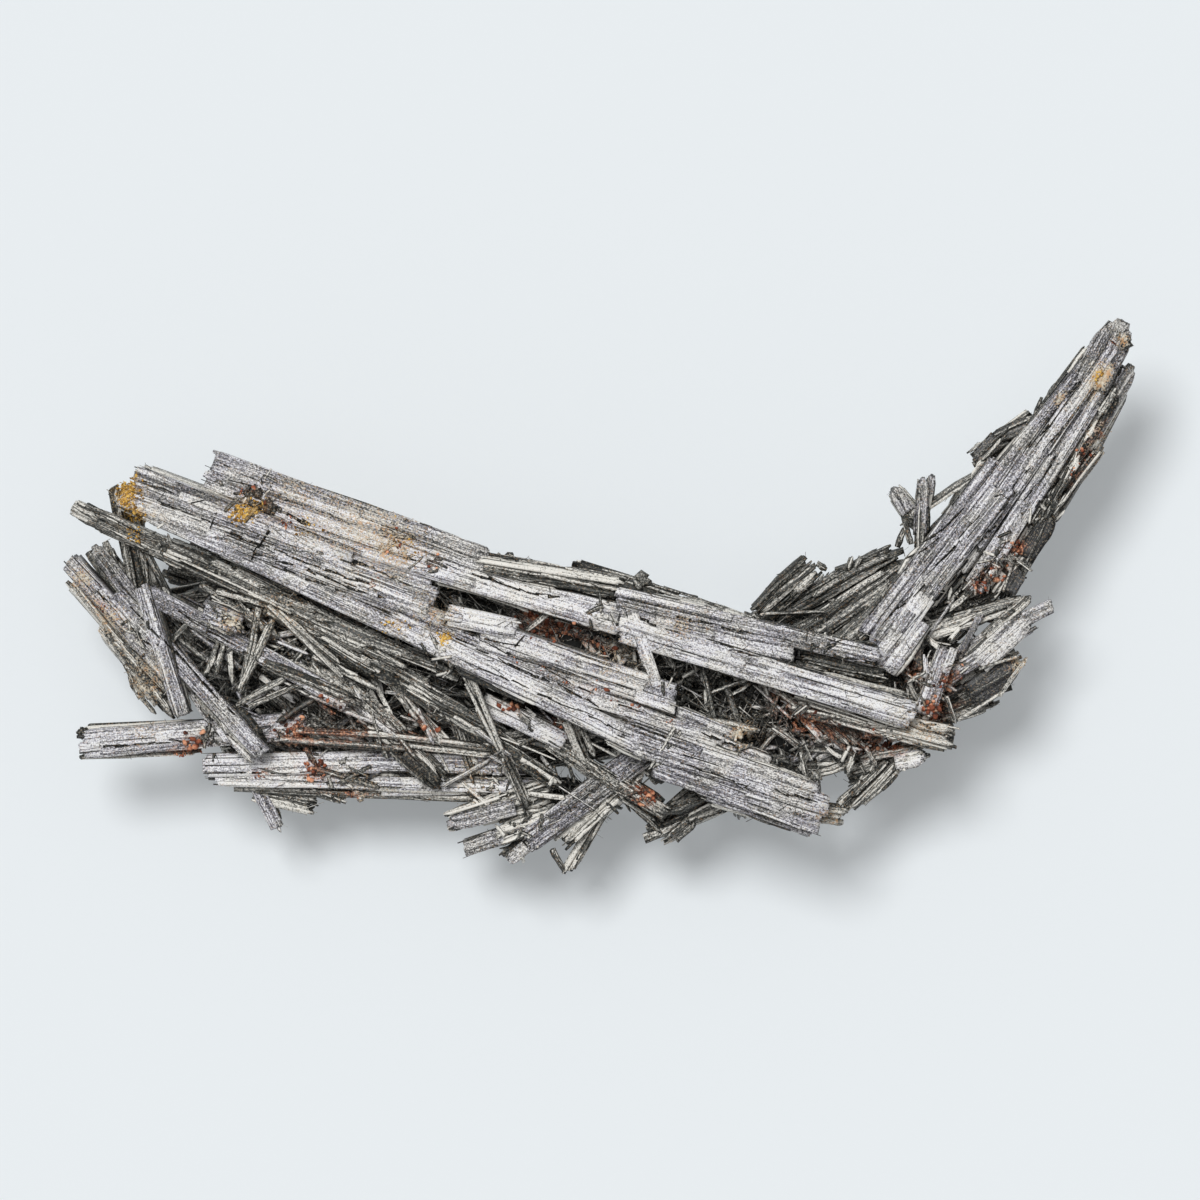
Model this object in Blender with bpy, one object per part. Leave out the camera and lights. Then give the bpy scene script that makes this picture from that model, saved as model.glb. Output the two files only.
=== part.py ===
"""Arfvedsonite specimen: long prismatic crystals grown together into one bent, splintery cluster.

The cluster lies on its back on the plane z = 0 with its show face up. Blades are listed in
millimetres as centre lines from foot to tip; x runs along the cluster and y across it.
"""

import math
import random
from collections import namedtuple

import bmesh
import bpy
from mathutils import Matrix, Vector

MM = 0.001
CLUSTER_LENGTH = 134.6  # overall length along x, which sets the size of everything else
CLUSTER_HEIGHT = 34.0  # from the resting plane to the top of the highest blade
DRAWN_LENGTH = 134.6  # the length at which the tables below were laid out
DRAWN_HEIGHT = 39.0
SIDES = 6  # an amphibole prism has six sides
FLAT = 0.72  # width of a prism's flat, as a share of its full width
LENGTH_SCALE = CLUSTER_LENGTH / DRAWN_LENGTH
HEIGHT_SCALE = CLUSTER_HEIGHT / DRAWN_HEIGHT
FLOOR_CUTTER_SIZE = 200.0
SEED = 11

Blade = namedtuple("Blade", "foot tip width depth roll")
Lump = namedtuple("Lump", "centre radii")

BLADES = {
    # The broad slab that starts at the top left and runs down to the right.
    "upper slab": [
        Blade((-58.4, 15.4, 34.5), (-30.0, 4.6, 35.5), 3.4, 5.0, 5),
        Blade((-60.3, 13.2, 34.0), (-21.0, -1.2, 35.5), 3.2, 5.5, -4),
        Blade((-56.6, 11.2, 34.5), (-27.8, -2.4, 36.0), 2.4, 4.5, 0),
        Blade((-47.0, 8.2, 35.4), (-19.0, -3.0, 36.2), 2.6, 4.0, 6),
    ],
    "middle slab": [
        Blade((-26.5, -2.5, 36.0), (7.0, -18.9, 34.5), 3.0, 4.5, 0),
        Blade((-30.0, 0.3, 35.8), (15.0, -18.3, 34.0), 2.4, 4.0, 4),
        Blade((-16.0, -3.9, 35.5), (10.0, -12.6, 34.5), 4.0, 5.0, 3),
        Blade((-4.0, -11.8, 36.4), (15.5, -17.6, 34.8), 1.6, 2.5, -6),
        Blade((-19.5, -1.8, 37.7), (-9.8, -3.8, 37.4), 2.8, 2.0, 0),
    ],
    "lower right slab": [
        Blade((5.5, -16.6, 34.8), (27.5, -24.3, 32.5), 2.8, 5.0, 4),
        Blade((6.0, -18.7, 34.6), (29.0, -26.0, 32.0), 2.8, 5.5, -3),
        Blade((7.2, -20.7, 34.0), (28.0, -28.0, 31.5), 2.8, 5.0, 5),
        Blade((13.0, -24.2, 32.5), (26.8, -29.1, 31.0), 1.8, 3.5, -8),
        Blade((24.0, -26.4, 30.2), (30.5, -27.0, 29.0), 2.2, 3.0, 10),
        Blade((9.0, -13.9, 33.5), (17.3, -17.2, 33.0), 2.0, 3.0, 0),
        Blade((14.0, -17.4, 33.6), (21.5, -20.4, 32.5), 1.8, 3.0, 7),
    ],
    # The second broad slab, behind the first, which makes the top edge of the cluster.
    "top slab": [
        Blade((-49.0, 17.0, 33.5), (-14.0, 4.4, 34.5), 3.6, 5.0, -8),
        Blade((-49.6, 15.4, 33.0), (-20.0, 3.6, 34.6), 2.8, 5.0, -4),
        Blade((-40.0, 9.6, 34.5), (3.0, -3.2, 35.5), 3.0, 4.5, 2),
        Blade((-16.0, 4.6, 34.8), (3.0, 1.2, 34.0), 2.8, 5.0, -6),
        Blade((-22.0, 4.0, 35.3), (2.5, -1.2, 35.3), 1.8, 3.0, 5),
    ],
    "right blades": [
        Blade((1.5, 0.6, 34.8), (35.0, -7.3, 33.5), 2.5, 4.0, -4),
        Blade((1.5, -1.4, 34.4), (24.8, -6.6, 34.0), 2.6, 4.0, 3),
        Blade((2.0, -3.1, 35.4), (39.5, -14.3, 34.0), 3.7, 4.8, 4),
        Blade((24.0, -12.6, 32.2), (43.5, -18.0, 30.4), 2.2, 3.0, 0),
        Blade((36.0, -15.2, 31.2), (44.3, -17.3, 30.4), 2.8, 3.5, -5),
        Blade((25.0, -7.1, 31.8), (36.0, -9.5, 31.4), 2.2, 3.0, 0),
    ],
    # The long arm that rises to the right.
    "horn": [
        Blade((43.6, 8.4, 28.6), (63.6, 34.2, 31.0), 2.6, 5.0, 10),
        Blade((44.0, 3.5, 28.4), (65.5, 34.2, 30.6), 3.2, 6.0, 0),
        Blade((46.5, 1.0, 28.0), (65.0, 30.3, 30.0), 2.8, 5.0, -6),
        Blade((54.0, 8.6, 27.0), (66.4, 29.8, 29.0), 3.2, 6.0, -12),
        Blade((48.5, 1.0, 26.0), (62.3, 19.8, 27.0), 2.6, 5.0, -4),
        Blade((49.8, 0.3, 23.8), (55.3, 10.3, 24.6), 2.6, 4.0, 5),
        Blade((34.5, -6.8, 30.0), (51.0, 14.5, 30.6), 3.6, 5.0, -6),
        Blade((33.0, -4.4, 28.0), (50.0, 18.0, 29.4), 2.6, 5.0, 8),
        Blade((30.0, -5.4, 27.0), (45.5, 9.5, 28.0), 2.2, 4.0, -8),
        Blade((28.5, -6.8, 27.5), (44.0, 5.5, 28.5), 2.4, 3.5, 6),
        Blade((26.0, -5.2, 27.0), (42.5, 6.8, 28.0), 1.8, 3.0, 0),
        Blade((41.0, 1.2, 32.0), (36.6, -5.4, 31.6), 2.8, 2.6, 0),
        Blade((40.0, -1.8, 31.0), (34.8, -9.0, 30.6), 4.2, 4.0, 4),
        Blade((42.5, 0.2, 26.6), (51.0, 10.0, 27.2), 2.8, 4.0, 0),
        Blade((44.0, 3.0, 22.4), (63.6, 30.2, 26.4), 5.0, 4.0, 18),
        Blade((38.0, -4.0, 20.6), (59.0, 22.6, 23.4), 5.0, 4.2, -14),
        Blade((54.4, 22.9, 28.0), (46.8, 17.6, 28.0), 2.2, 1.6, 20),
        Blade((52.4, 19.9, 27.8), (46.8, 16.9, 27.2), 1.2, 1.4, 0),
    ],
    "sprigs beside the horn": [
        Blade((40.3, 6.0, 27.0), (40.2, 15.3, 28.5), 1.7, 1.6, 0),
        Blade((40.4, 9.0, 26.5), (36.9, 13.6, 27.5), 2.0, 1.8, 0),
        Blade((40.6, 10.0, 26.2), (41.7, 15.6, 27.0), 1.3, 1.3, 0),
        Blade((40.2, 11.2, 26.4), (48.4, 16.6, 27.6), 1.2, 1.3, 0),
        Blade((19.6, -2.0, 26.0), (26.5, 4.6, 27.0), 3.0, 2.6, 15),
        Blade((20.5, -3.1, 24.5), (37.0, 6.0, 26.0), 2.6, 2.8, -20),
        Blade((29.6, 3.6, 26.0), (38.0, 6.2, 26.4), 1.2, 1.2, 0),
        Blade((23.0, -5.0, 26.0), (38.0, 4.4, 27.0), 1.8, 2.2, 0),
    ],
    "right fan": [
        Blade((40.0, -11.2, 26.0), (54.6, -1.9, 27.4), 3.8, 3.0, -8),
        Blade((51.0, -3.4, 27.3), (57.0, -0.5, 28.0), 1.9, 1.8, 0),
        Blade((37.0, -5.6, 27.0), (52.3, -0.5, 27.0), 1.8, 1.8, 0),
        Blade((37.5, -4.0, 26.0), (54.0, 0.4, 27.0), 1.3, 1.6, 0),
        Blade((40.2, -14.8, 30.0), (43.6, -5.5, 30.6), 2.6, 2.6, 12),
        Blade((41.0, -11.8, 22.0), (52.6, -7.2, 24.0), 2.4, 2.2, 0),
        Blade((41.0, -13.8, 21.6), (51.3, -9.6, 23.0), 2.7, 2.2, 8),
        Blade((41.0, -15.4, 21.0), (49.9, -12.6, 22.0), 1.8, 2.0, 0),
        Blade((39.0, -3.6, 24.0), (50.0, 1.4, 25.0), 1.7, 1.7, 0),
        Blade((30.0, -26.2, 21.5), (37.0, -20.3, 24.0), 1.8, 2.2, 0),
        Blade((31.0, -21.8, 22.0), (41.0, -18.6, 24.0), 2.6, 3.2, 10),
        Blade((24.0, -20.6, 20.0), (33.5, -20.6, 22.0), 1.6, 2.2, 0),
        Blade((34.4, -14.0, 21.0), (35.4, -22.4, 21.6), 1.6, 2.2, 0),
    ],
    "bottom tangle": [
        Blade((-19.3, -28.0, 22.0), (-6.0, -23.2, 24.0), 2.4, 3.0, 0),
        Blade((-17.5, -31.2, 21.0), (-2.0, -26.2, 24.0), 2.2, 3.0, 8),
        Blade((-13.0, -29.9, 22.0), (0.0, -25.0, 24.5), 2.0, 3.0, -5),
        Blade((-9.5, -30.5, 23.0), (5.6, -18.9, 27.0), 3.4, 3.0, 8),
        Blade((-5.0, -30.5, 22.0), (5.0, -21.6, 26.0), 2.6, 3.0, -10),
        Blade((-4.2, -34.6, 20.0), (2.8, -22.2, 25.0), 1.4, 1.7, 0),
        Blade((-11.8, -32.6, 20.0), (-8.4, -29.4, 22.0), 1.9, 1.8, 0),
        Blade((-15.2, -12.5, 29.0), (-3.8, -18.0, 28.0), 2.8, 3.0, 0),
        Blade((-6.6, -17.6, 28.6), (8.3, -27.0, 25.8), 1.9, 2.1, 0),
        Blade((3.2, -24.4, 23.0), (7.8, -28.5, 21.0), 1.5, 1.7, 0),
        Blade((5.6, -29.6, 19.0), (17.0, -25.0, 22.6), 2.1, 2.6, 0),
        Blade((8.0, -27.8, 19.8), (17.5, -20.5, 24.5), 2.6, 2.6, 10),
        Blade((7.8, -29.9, 18.5), (11.4, -27.6, 20.0), 2.3, 1.9, 0),
        Blade((17.6, -26.6, 24.2), (17.2, -23.0, 31.0), 1.8, 1.8, 0),
    ],
    "low prisms": [
        Blade((-65.6, -18.0, 25.0), (-36.0, -15.4, 24.0), 3.7, 4.2, 10),
        Blade((-65.3, -19.5, 24.2), (-50.0, -18.2, 24.0), 1.3, 2.2, 0),
        Blade((-50.0, -20.9, 22.0), (-27.0, -20.3, 23.0), 3.0, 4.0, -6),
        Blade((-30.0, -20.1, 23.0), (-8.5, -20.7, 22.6), 2.6, 4.0, 6),
        Blade((-48.5, -22.4, 22.0), (-6.0, -23.4, 22.4), 1.8, 3.0, 0),
        Blade((-46.0, -23.6, 21.0), (-12.6, -25.2, 21.6), 1.1, 2.2, 0),
        Blade((-45.6, -18.5, 21.4), (-40.4, -28.9, 18.6), 1.8, 2.2, 0),
        Blade((-43.6, -24.0, 19.6), (-35.8, -25.9, 19.0), 2.4, 2.6, 8),
        Blade((-39.0, -22.0, 21.4), (-31.9, -25.2, 20.0), 1.8, 2.2, 0),
    ],
    "left fan": [
        Blade((-66.6, 5.4, 28.0), (-52.0, -10.6, 27.0), 2.6, 3.5, 15),
        Blade((-66.3, 3.0, 26.0), (-53.6, -11.4, 26.0), 2.4, 3.0, 0),
        Blade((-62.3, -2.5, 24.0), (-52.5, -14.2, 23.4), 3.0, 2.4, 0),
        Blade((-61.0, 1.2, 29.0), (-41.9, -19.6, 28.4), 2.3, 2.8, -8),
        Blade((-63.3, 6.6, 25.2), (-53.5, -7.4, 24.6), 3.0, 2.6, -20),
        Blade((-59.6, 14.4, 30.0), (-57.2, 0.6, 25.6), 3.0, 2.8, 12),
        Blade((-57.1, 2.2, 30.8), (-51.9, -14.8, 29.4), 2.1, 2.4, 20),
        Blade((-66.0, 11.7, 30.4), (-38.0, -0.8, 32.0), 2.3, 2.4, 6),
        Blade((-63.0, 9.6, 29.8), (-49.0, 3.4, 31.0), 1.7, 1.7, 0),
        Blade((-60.4, -4.6, 23.2), (-57.2, -12.4, 21.4), 1.9, 2.0, 0),
        Blade((-58.6, -8.0, 23.0), (-53.2, -14.4, 22.4), 1.4, 1.6, 0),
    ],
    "inner blades": [
        Blade((-56.6, 1.0, 30.2), (-31.0, -13.0, 29.0), 2.3, 2.6, 8),
        Blade((-42.6, -1.0, 31.6), (-44.8, -11.4, 29.8), 1.2, 1.5, 0),
        Blade((-41.4, -0.6, 32.0), (-32.0, -9.2, 31.0), 1.4, 1.6, 0),
        Blade((-48.0, 4.2, 31.2), (-24.0, -8.0, 31.6), 2.0, 2.6, 0),
        Blade((-46.0, 1.9, 30.0), (-20.0, -12.6, 29.8), 2.2, 2.4, 10),
        Blade((-39.0, -2.0, 30.6), (-12.0, -17.2, 29.4), 1.9, 2.4, 0),
        Blade((-34.5, -2.6, 32.0), (-17.0, -9.6, 32.6), 1.6, 2.0, 0),
        Blade((-29.0, -8.0, 30.6), (-5.0, -23.2, 26.4), 1.8, 2.0, 0),
        Blade((-26.0, -10.4, 29.4), (-19.3, -18.3, 26.6), 1.5, 1.7, 0),
        Blade((-20.1, -1.6, 37.9), (-15.4, -12.2, 33.6), 1.1, 1.3, 0),
        Blade((-16.6, -9.6, 33.8), (-8.8, -26.6, 25.4), 1.4, 1.5, 0),
        Blade((-18.3, -14.0, 27.6), (-15.7, -22.2, 24.0), 1.5, 1.6, 0),
        Blade((3.9, -1.4, 37.2), (7.0, -10.4, 36.6), 1.5, 1.5, 0),
        Blade((-4.6, -14.0, 33.0), (-1.4, -20.6, 26.8), 1.6, 1.7, 0),
        Blade((-10.5, -2.5, 24.0), (4.5, -7.5, 26.0), 2.6, 3.0, 30),
    ],
    # The back of the cluster, which it lies on.
    "back blades": [
        Blade((-55.0, 5.5, 2.1), (-4.0, -13.0, 1.7), 5.0, 4.6, 0),
        Blade((-40.0, 9.5, 2.1), (24.0, -8.5, 1.7), 5.4, 4.6, 0),
        Blade((-14.0, -20.5, 2.0), (42.0, -9.0, 1.8), 4.8, 4.8, 0),
        Blade((-47.0, -17.5, 1.9), (-9.0, -17.0, 1.8), 4.4, 4.6, 0),
        Blade((-26.0, -13.0, 3.6), (12.0, -15.0, 3.2), 4.4, 4.4, 12),
        Blade((6.0, -3.0, 4.4), (36.0, -13.0, 4.0), 4.8, 4.2, -10),
        Blade((-50.0, -4.0, 5.0), (-22.0, -9.0, 4.0), 4.4, 4.4, 15),
        Blade((-60.0, -2.0, 9.0), (-24.0, 4.0, 7.5), 4.2, 4.0, 24),
        Blade((-15.5, 4.5, 13.0), (9.0, -22.0, 6.0), 4.0, 3.6, 10),
        Blade((14.0, -25.0, 9.0), (30.0, 3.0, 12.0), 3.8, 3.6, -12),
        Blade((-48.0, 13.0, 16.0), (-8.0, -2.0, 12.0), 5.0, 4.4, 35),
        Blade((-36.0, -24.0, 11.0), (-20.0, 7.0, 13.0), 3.4, 3.2, 0),
        Blade((-32.0, -20.0, 13.0), (-3.0, -26.5, 15.0), 3.4, 3.6, 20),
        Blade((26.0, -20.0, 8.0), (49.0, 2.0, 15.0), 4.6, 4.0, 14),
        Blade((34.0, -14.0, 13.0), (48.0, 8.0, 19.0), 4.6, 4.0, 30),
        Blade((18.0, -2.0, 18.0), (42.0, -16.0, 10.0), 3.4, 3.4, 0),
        Blade((-57.5, -6.0, 15.0), (-36.0, -7.0, 12.0), 3.2, 3.0, 15),
        Blade((-4.0, 3.0, 18.0), (20.0, -5.0, 20.0), 4.0, 4.4, -30),
        Blade((-44.0, -21.0, 12.0), (-58.0, 4.0, 17.0), 3.4, 3.2, -20),
        Blade((13.0, -24.6, 11.0), (36.0, -17.0, 15.0), 3.4, 3.2, 0),
    ],
}

# The plan of the massive part of the cluster, which the tangle behind the show face keeps within,
# and the open gaps that can be seen through, as x, y and radius.
MASS_PLAN = [
    (-58.0, 3.0), (-56.0, 12.0), (-47.0, 15.5), (-30.0, 10.5), (-14.0, 5.0), (2.0, 1.0), (20.0, -2.5),
    (33.0, -4.0), (42.0, 4.0), (50.0, 12.0), (57.0, 18.0), (56.0, 10.0), (49.0, 0.0), (51.0, -6.0),
    (44.0, -14.0), (34.0, -21.0), (27.0, -26.0), (12.0, -24.5), (4.0, -27.0), (-7.0, -27.5), (-18.0, -25.0),
    (-36.0, -23.5), (-46.0, -21.0), (-54.0, -11.0),
]
OPEN_GAPS = [
    (-56.0, 9.2, 1.6), (-53.5, 7.6, 0.9), (-51.6, 6.8, 0.9), (-54.6, 2.8, 2.4), (-19.4, -16.0, 1.3), (-3.4, -21.5, 1.3),
    (8.4, -24.0, 2.0), (31.0, -23.8, 1.6), (8.5, -10.3, 0.6), (-13.5, -24.2, 1.0), (43.2, 11.8, 1.0),
]
TANGLE_COUNT = 38
TANGLE_LEVELS = (4.5, 29.0)  # lowest and highest blade centre in the drawn height

# The felt of fine needles that fills the hollows and binds the blades, drawn as rounded lumps.
FELT = [
    Lump((-40.0, -6.0, 17.5), (13.0, 7.0, 13.5)),
    Lump((-36.0, 5.0, 22.0), (15.0, 5.0, 11.0)),
    Lump((-20.0, -4.5, 18.5), (14.0, 7.5, 15.0)),
    Lump((-34.0, -15.5, 14.0), (13.0, 5.0, 10.5)),
    Lump((-3.0, -8.5, 18.5), (14.0, 8.0, 15.0)),
    Lump((20.0, -15.5, 16.5), (14.0, 7.0, 13.5)),
    Lump((14.0, -6.4, 21.0), (14.0, 4.6, 12.5)),
    Lump((36.0, -8.0, 18.0), (9.0, 8.5, 10.5)),
    Lump((-6.0, -26.5, 17.0), (6.5, 3.6, 6.0)),
]
FELT_ROUGHNESS = 0.14  # how far a lump's points stray, as a share of its radii


def placed(point):
    """A point of the tables in metres, scaled to the cluster's driving sizes."""
    x, y, z = point
    return Vector((x * LENGTH_SCALE, y * LENGTH_SCALE, z * HEIGHT_SCALE)) * MM


def across(axis, roll):
    """The unit width and depth directions of a blade that lies along axis."""
    width = Vector((0, 0, 1)).cross(axis).normalized()
    depth = axis.cross(width).normalized()
    turn = Matrix.Rotation(math.radians(roll), 3, axis)
    return turn @ width, turn @ depth


def prism_outline(width, depth, chance):
    """A six-sided cross-section with broad flats on its show face and back, a little uneven from side to side."""
    corners = []
    for u, v in ((1, 0), (FLAT, 1), (-FLAT, 1), (-1, 0), (-FLAT, -1), (FLAT, -1)):
        stray = chance.uniform(-0.12, 0.12)
        corners.append((width / 2 * (u + stray), depth / 2 * (v + chance.uniform(-0.3, 0.3) * (v == 0))))
    return corners


def add_blade(mesh, blade, chance):
    """One prism with a slightly tapered shaft and two slanting broken ends."""
    foot, tip = placed(blade.foot), placed(blade.tip)
    axis = (tip - foot).normalized()
    width_way, depth_way = across(axis, blade.roll)
    width, depth = blade.width * LENGTH_SCALE * MM, blade.depth * HEIGHT_SCALE * MM
    outline = prism_outline(width, depth, chance)
    rings = []
    for end, taper in ((foot, 0.94), (tip, 0.84)):
        slant, pitch = chance.uniform(-0.35, 0.35), chance.uniform(-0.3, 0.3)
        rings.append(
            [
                mesh.verts.new(end + taper * (u * width_way + v * depth_way) + axis * (slant * u + pitch * v))
                for u, v in outline
            ]
        )
    for i in range(SIDES):
        j = (i + 1) % SIDES
        mesh.faces.new((rings[0][i], rings[0][j], rings[1][j], rings[1][i]))
    mesh.faces.new(reversed(rings[0]))
    mesh.faces.new(rings[1])


def add_lump(mesh, lump, chance):
    """A rough ellipsoid of felted needles."""
    made = bmesh.ops.create_icosphere(mesh, subdivisions=2, radius=1.0)
    centre, radii = placed(lump.centre), placed(lump.radii)
    for vert in made["verts"]:
        stray = 1 + chance.uniform(-FELT_ROUGHNESS, FELT_ROUGHNESS)
        vert.co = centre + Vector(a * b * stray for a, b in zip(vert.co, radii))


def inside_plan(x, y):
    """Whether a point of the plan lies over the massive part of the cluster."""
    hit = False
    for (ax, ay), (bx, by) in zip(MASS_PLAN, MASS_PLAN[1:] + MASS_PLAN[:1]):
        if (ay > y) != (by > y) and x < ax + (y - ay) / (by - ay) * (bx - ax):
            hit = not hit
    return hit


def fits_plan(blade):
    """Whether a blade stays over the mass and clear of the open gaps."""
    for i in range(17):
        x, y, _ = Vector(blade.foot).lerp(Vector(blade.tip), i / 16)
        if not inside_plan(x, y):
            return False
        if any(math.hypot(x - gx, y - gy) < radius + blade.width / 2 for gx, gy, radius in OPEN_GAPS):
            return False
    return True


def random_blade(chance):
    """A blade somewhere in the tangle, most often along the cluster."""
    x, y = chance.uniform(-58, 56), chance.uniform(-27, 15)
    low, high = TANGLE_LEVELS
    z = chance.uniform(low, high)
    heading = math.radians(chance.choice((-20, -20, -8, 40, -50, 55)) + chance.gauss(0, 12))
    reach = chance.uniform(7, 17)
    rise = chance.uniform(-3.5, 3.5)
    run = Vector((math.cos(heading) * reach, math.sin(heading) * reach, rise))
    middle = Vector((x, y, z))
    return Blade(tuple(middle - run), tuple(middle + run), chance.uniform(2.2, 4.6), chance.uniform(2.2, 4.4), chance.uniform(-40, 40))


def tangle(chance):
    """Blades that cross at random behind the show face."""
    blades = []
    while len(blades) < TANGLE_COUNT:
        blade = random_blade(chance)
        if fits_plan(blade):
            blades.append(blade)
    return blades


def mesh_object(name, mesh):
    """A new object that holds a finished bmesh, facing out."""
    bmesh.ops.recalc_face_normals(mesh, faces=mesh.faces)
    data = bpy.data.meshes.new(name)
    mesh.to_mesh(data)
    mesh.free()
    made = bpy.data.objects.new(name, data)
    bpy.context.scene.collection.objects.link(made)
    return made


def helper(made):
    """Marks an object that only shapes others."""
    made.hide_render = True
    made.display_type = "WIRE"
    return made


def blades_object():
    chance = random.Random(SEED)
    mesh = bmesh.new()
    for bundle in BLADES.values():
        for blade in bundle:
            add_blade(mesh, blade, chance)
    for blade in tangle(random.Random(SEED + 2)):
        add_blade(mesh, blade, chance)
    return mesh_object("crystal_cluster", mesh)


def felt_object():
    chance = random.Random(SEED + 1)
    mesh = bmesh.new()
    for lump in FELT:
        add_lump(mesh, lump, chance)
    return helper(mesh_object("felt", mesh))


def floor_cutter():
    """A box whose top is the resting plane, which leaves flats on the blades that touch it."""
    mesh = bmesh.new()
    size = FLOOR_CUTTER_SIZE * MM
    bmesh.ops.create_cube(mesh, size=size)
    bmesh.ops.translate(mesh, verts=mesh.verts, vec=(0, 0, -size / 2))
    return helper(mesh_object("floor_cutter", mesh))


def add_boolean(target, name, operation, other):
    cut = target.modifiers.new(name, "BOOLEAN")
    cut.operation = operation
    cut.solver = "EXACT"
    cut.use_self = True
    cut.object = other


def mineral():
    """Weathered arfvedsonite: silvery grey-black with a dull lustre."""
    material = bpy.data.materials.new("arfvedsonite")
    material.use_nodes = True
    shader = material.node_tree.nodes["Principled BSDF"]
    shader.inputs["Base Color"].default_value = (0.16, 0.16, 0.165, 1)
    shader.inputs["Roughness"].default_value = 0.55
    shader.inputs["Metallic"].default_value = 0.0
    return material


def islands(mesh):
    """The separate closed skins of a bmesh, as lists of vertices."""
    found, seen = [], set()
    for start in mesh.verts:
        if start in seen:
            continue
        seen.add(start)
        skin, edge_of = [], [start]
        while edge_of:
            vert = edge_of.pop()
            skin.append(vert)
            for edge in vert.link_edges:
                other = edge.other_vert(vert)
                if other not in seen:
                    seen.add(other)
                    edge_of.append(other)
        found.append(skin)
    return found


def keep_outer_skin(made):
    """Applies the Booleans and fills the pores that they seal inside, by dropping every skin but the outer one."""
    graph = bpy.context.evaluated_depsgraph_get()
    data = bpy.data.meshes.new_from_object(made.evaluated_get(graph))
    mesh = bmesh.new()
    mesh.from_mesh(data)
    pores = sorted(islands(mesh), key=len)[:-1]
    bmesh.ops.delete(mesh, geom=[vert for skin in pores for vert in skin], context="VERTS")
    mesh.to_mesh(data)
    mesh.free()
    made.modifiers.clear()
    made.data = data


def main():
    for old in list(bpy.data.objects):
        bpy.data.objects.remove(old, do_unlink=True)
    cluster = blades_object()
    cluster.data.materials.append(mineral())
    add_boolean(cluster, "grown_together", "UNION", felt_object())
    add_boolean(cluster, "resting_flats", "DIFFERENCE", floor_cutter())
    keep_outer_skin(cluster)


main()
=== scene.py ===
"""Arfvedsonite specimen: a bent cluster of long crystals, each one built up from split laths.

The tables are in millimetres. Their heights and depths are drawn for a cluster 39 high, which
HEIGHT brings to its real 34. A few small originals are modelled once each, and every piece is
one mesh of their copies, stretched to size. What is random is drawn from SEED.
"""

import math
import random
from collections import namedtuple

import bmesh
import bpy
import numpy as np
from mathutils import Matrix, Vector
from mathutils.bvhtree import BVHTree


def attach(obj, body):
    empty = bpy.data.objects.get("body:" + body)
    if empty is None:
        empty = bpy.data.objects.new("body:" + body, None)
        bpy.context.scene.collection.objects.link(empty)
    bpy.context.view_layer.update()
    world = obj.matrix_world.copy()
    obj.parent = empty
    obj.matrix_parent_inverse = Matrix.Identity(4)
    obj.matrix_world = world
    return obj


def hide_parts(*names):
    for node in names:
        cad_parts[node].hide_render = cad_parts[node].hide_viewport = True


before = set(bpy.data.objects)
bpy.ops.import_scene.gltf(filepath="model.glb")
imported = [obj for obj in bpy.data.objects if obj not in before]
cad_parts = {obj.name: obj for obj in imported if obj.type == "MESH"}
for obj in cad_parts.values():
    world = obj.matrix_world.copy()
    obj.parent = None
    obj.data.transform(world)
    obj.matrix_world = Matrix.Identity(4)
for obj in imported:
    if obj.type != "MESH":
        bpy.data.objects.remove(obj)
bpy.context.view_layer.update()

MM = 0.001
HEIGHT = 34 / 39
SEED = 11
UP = Vector((0, 0, 1))

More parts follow.
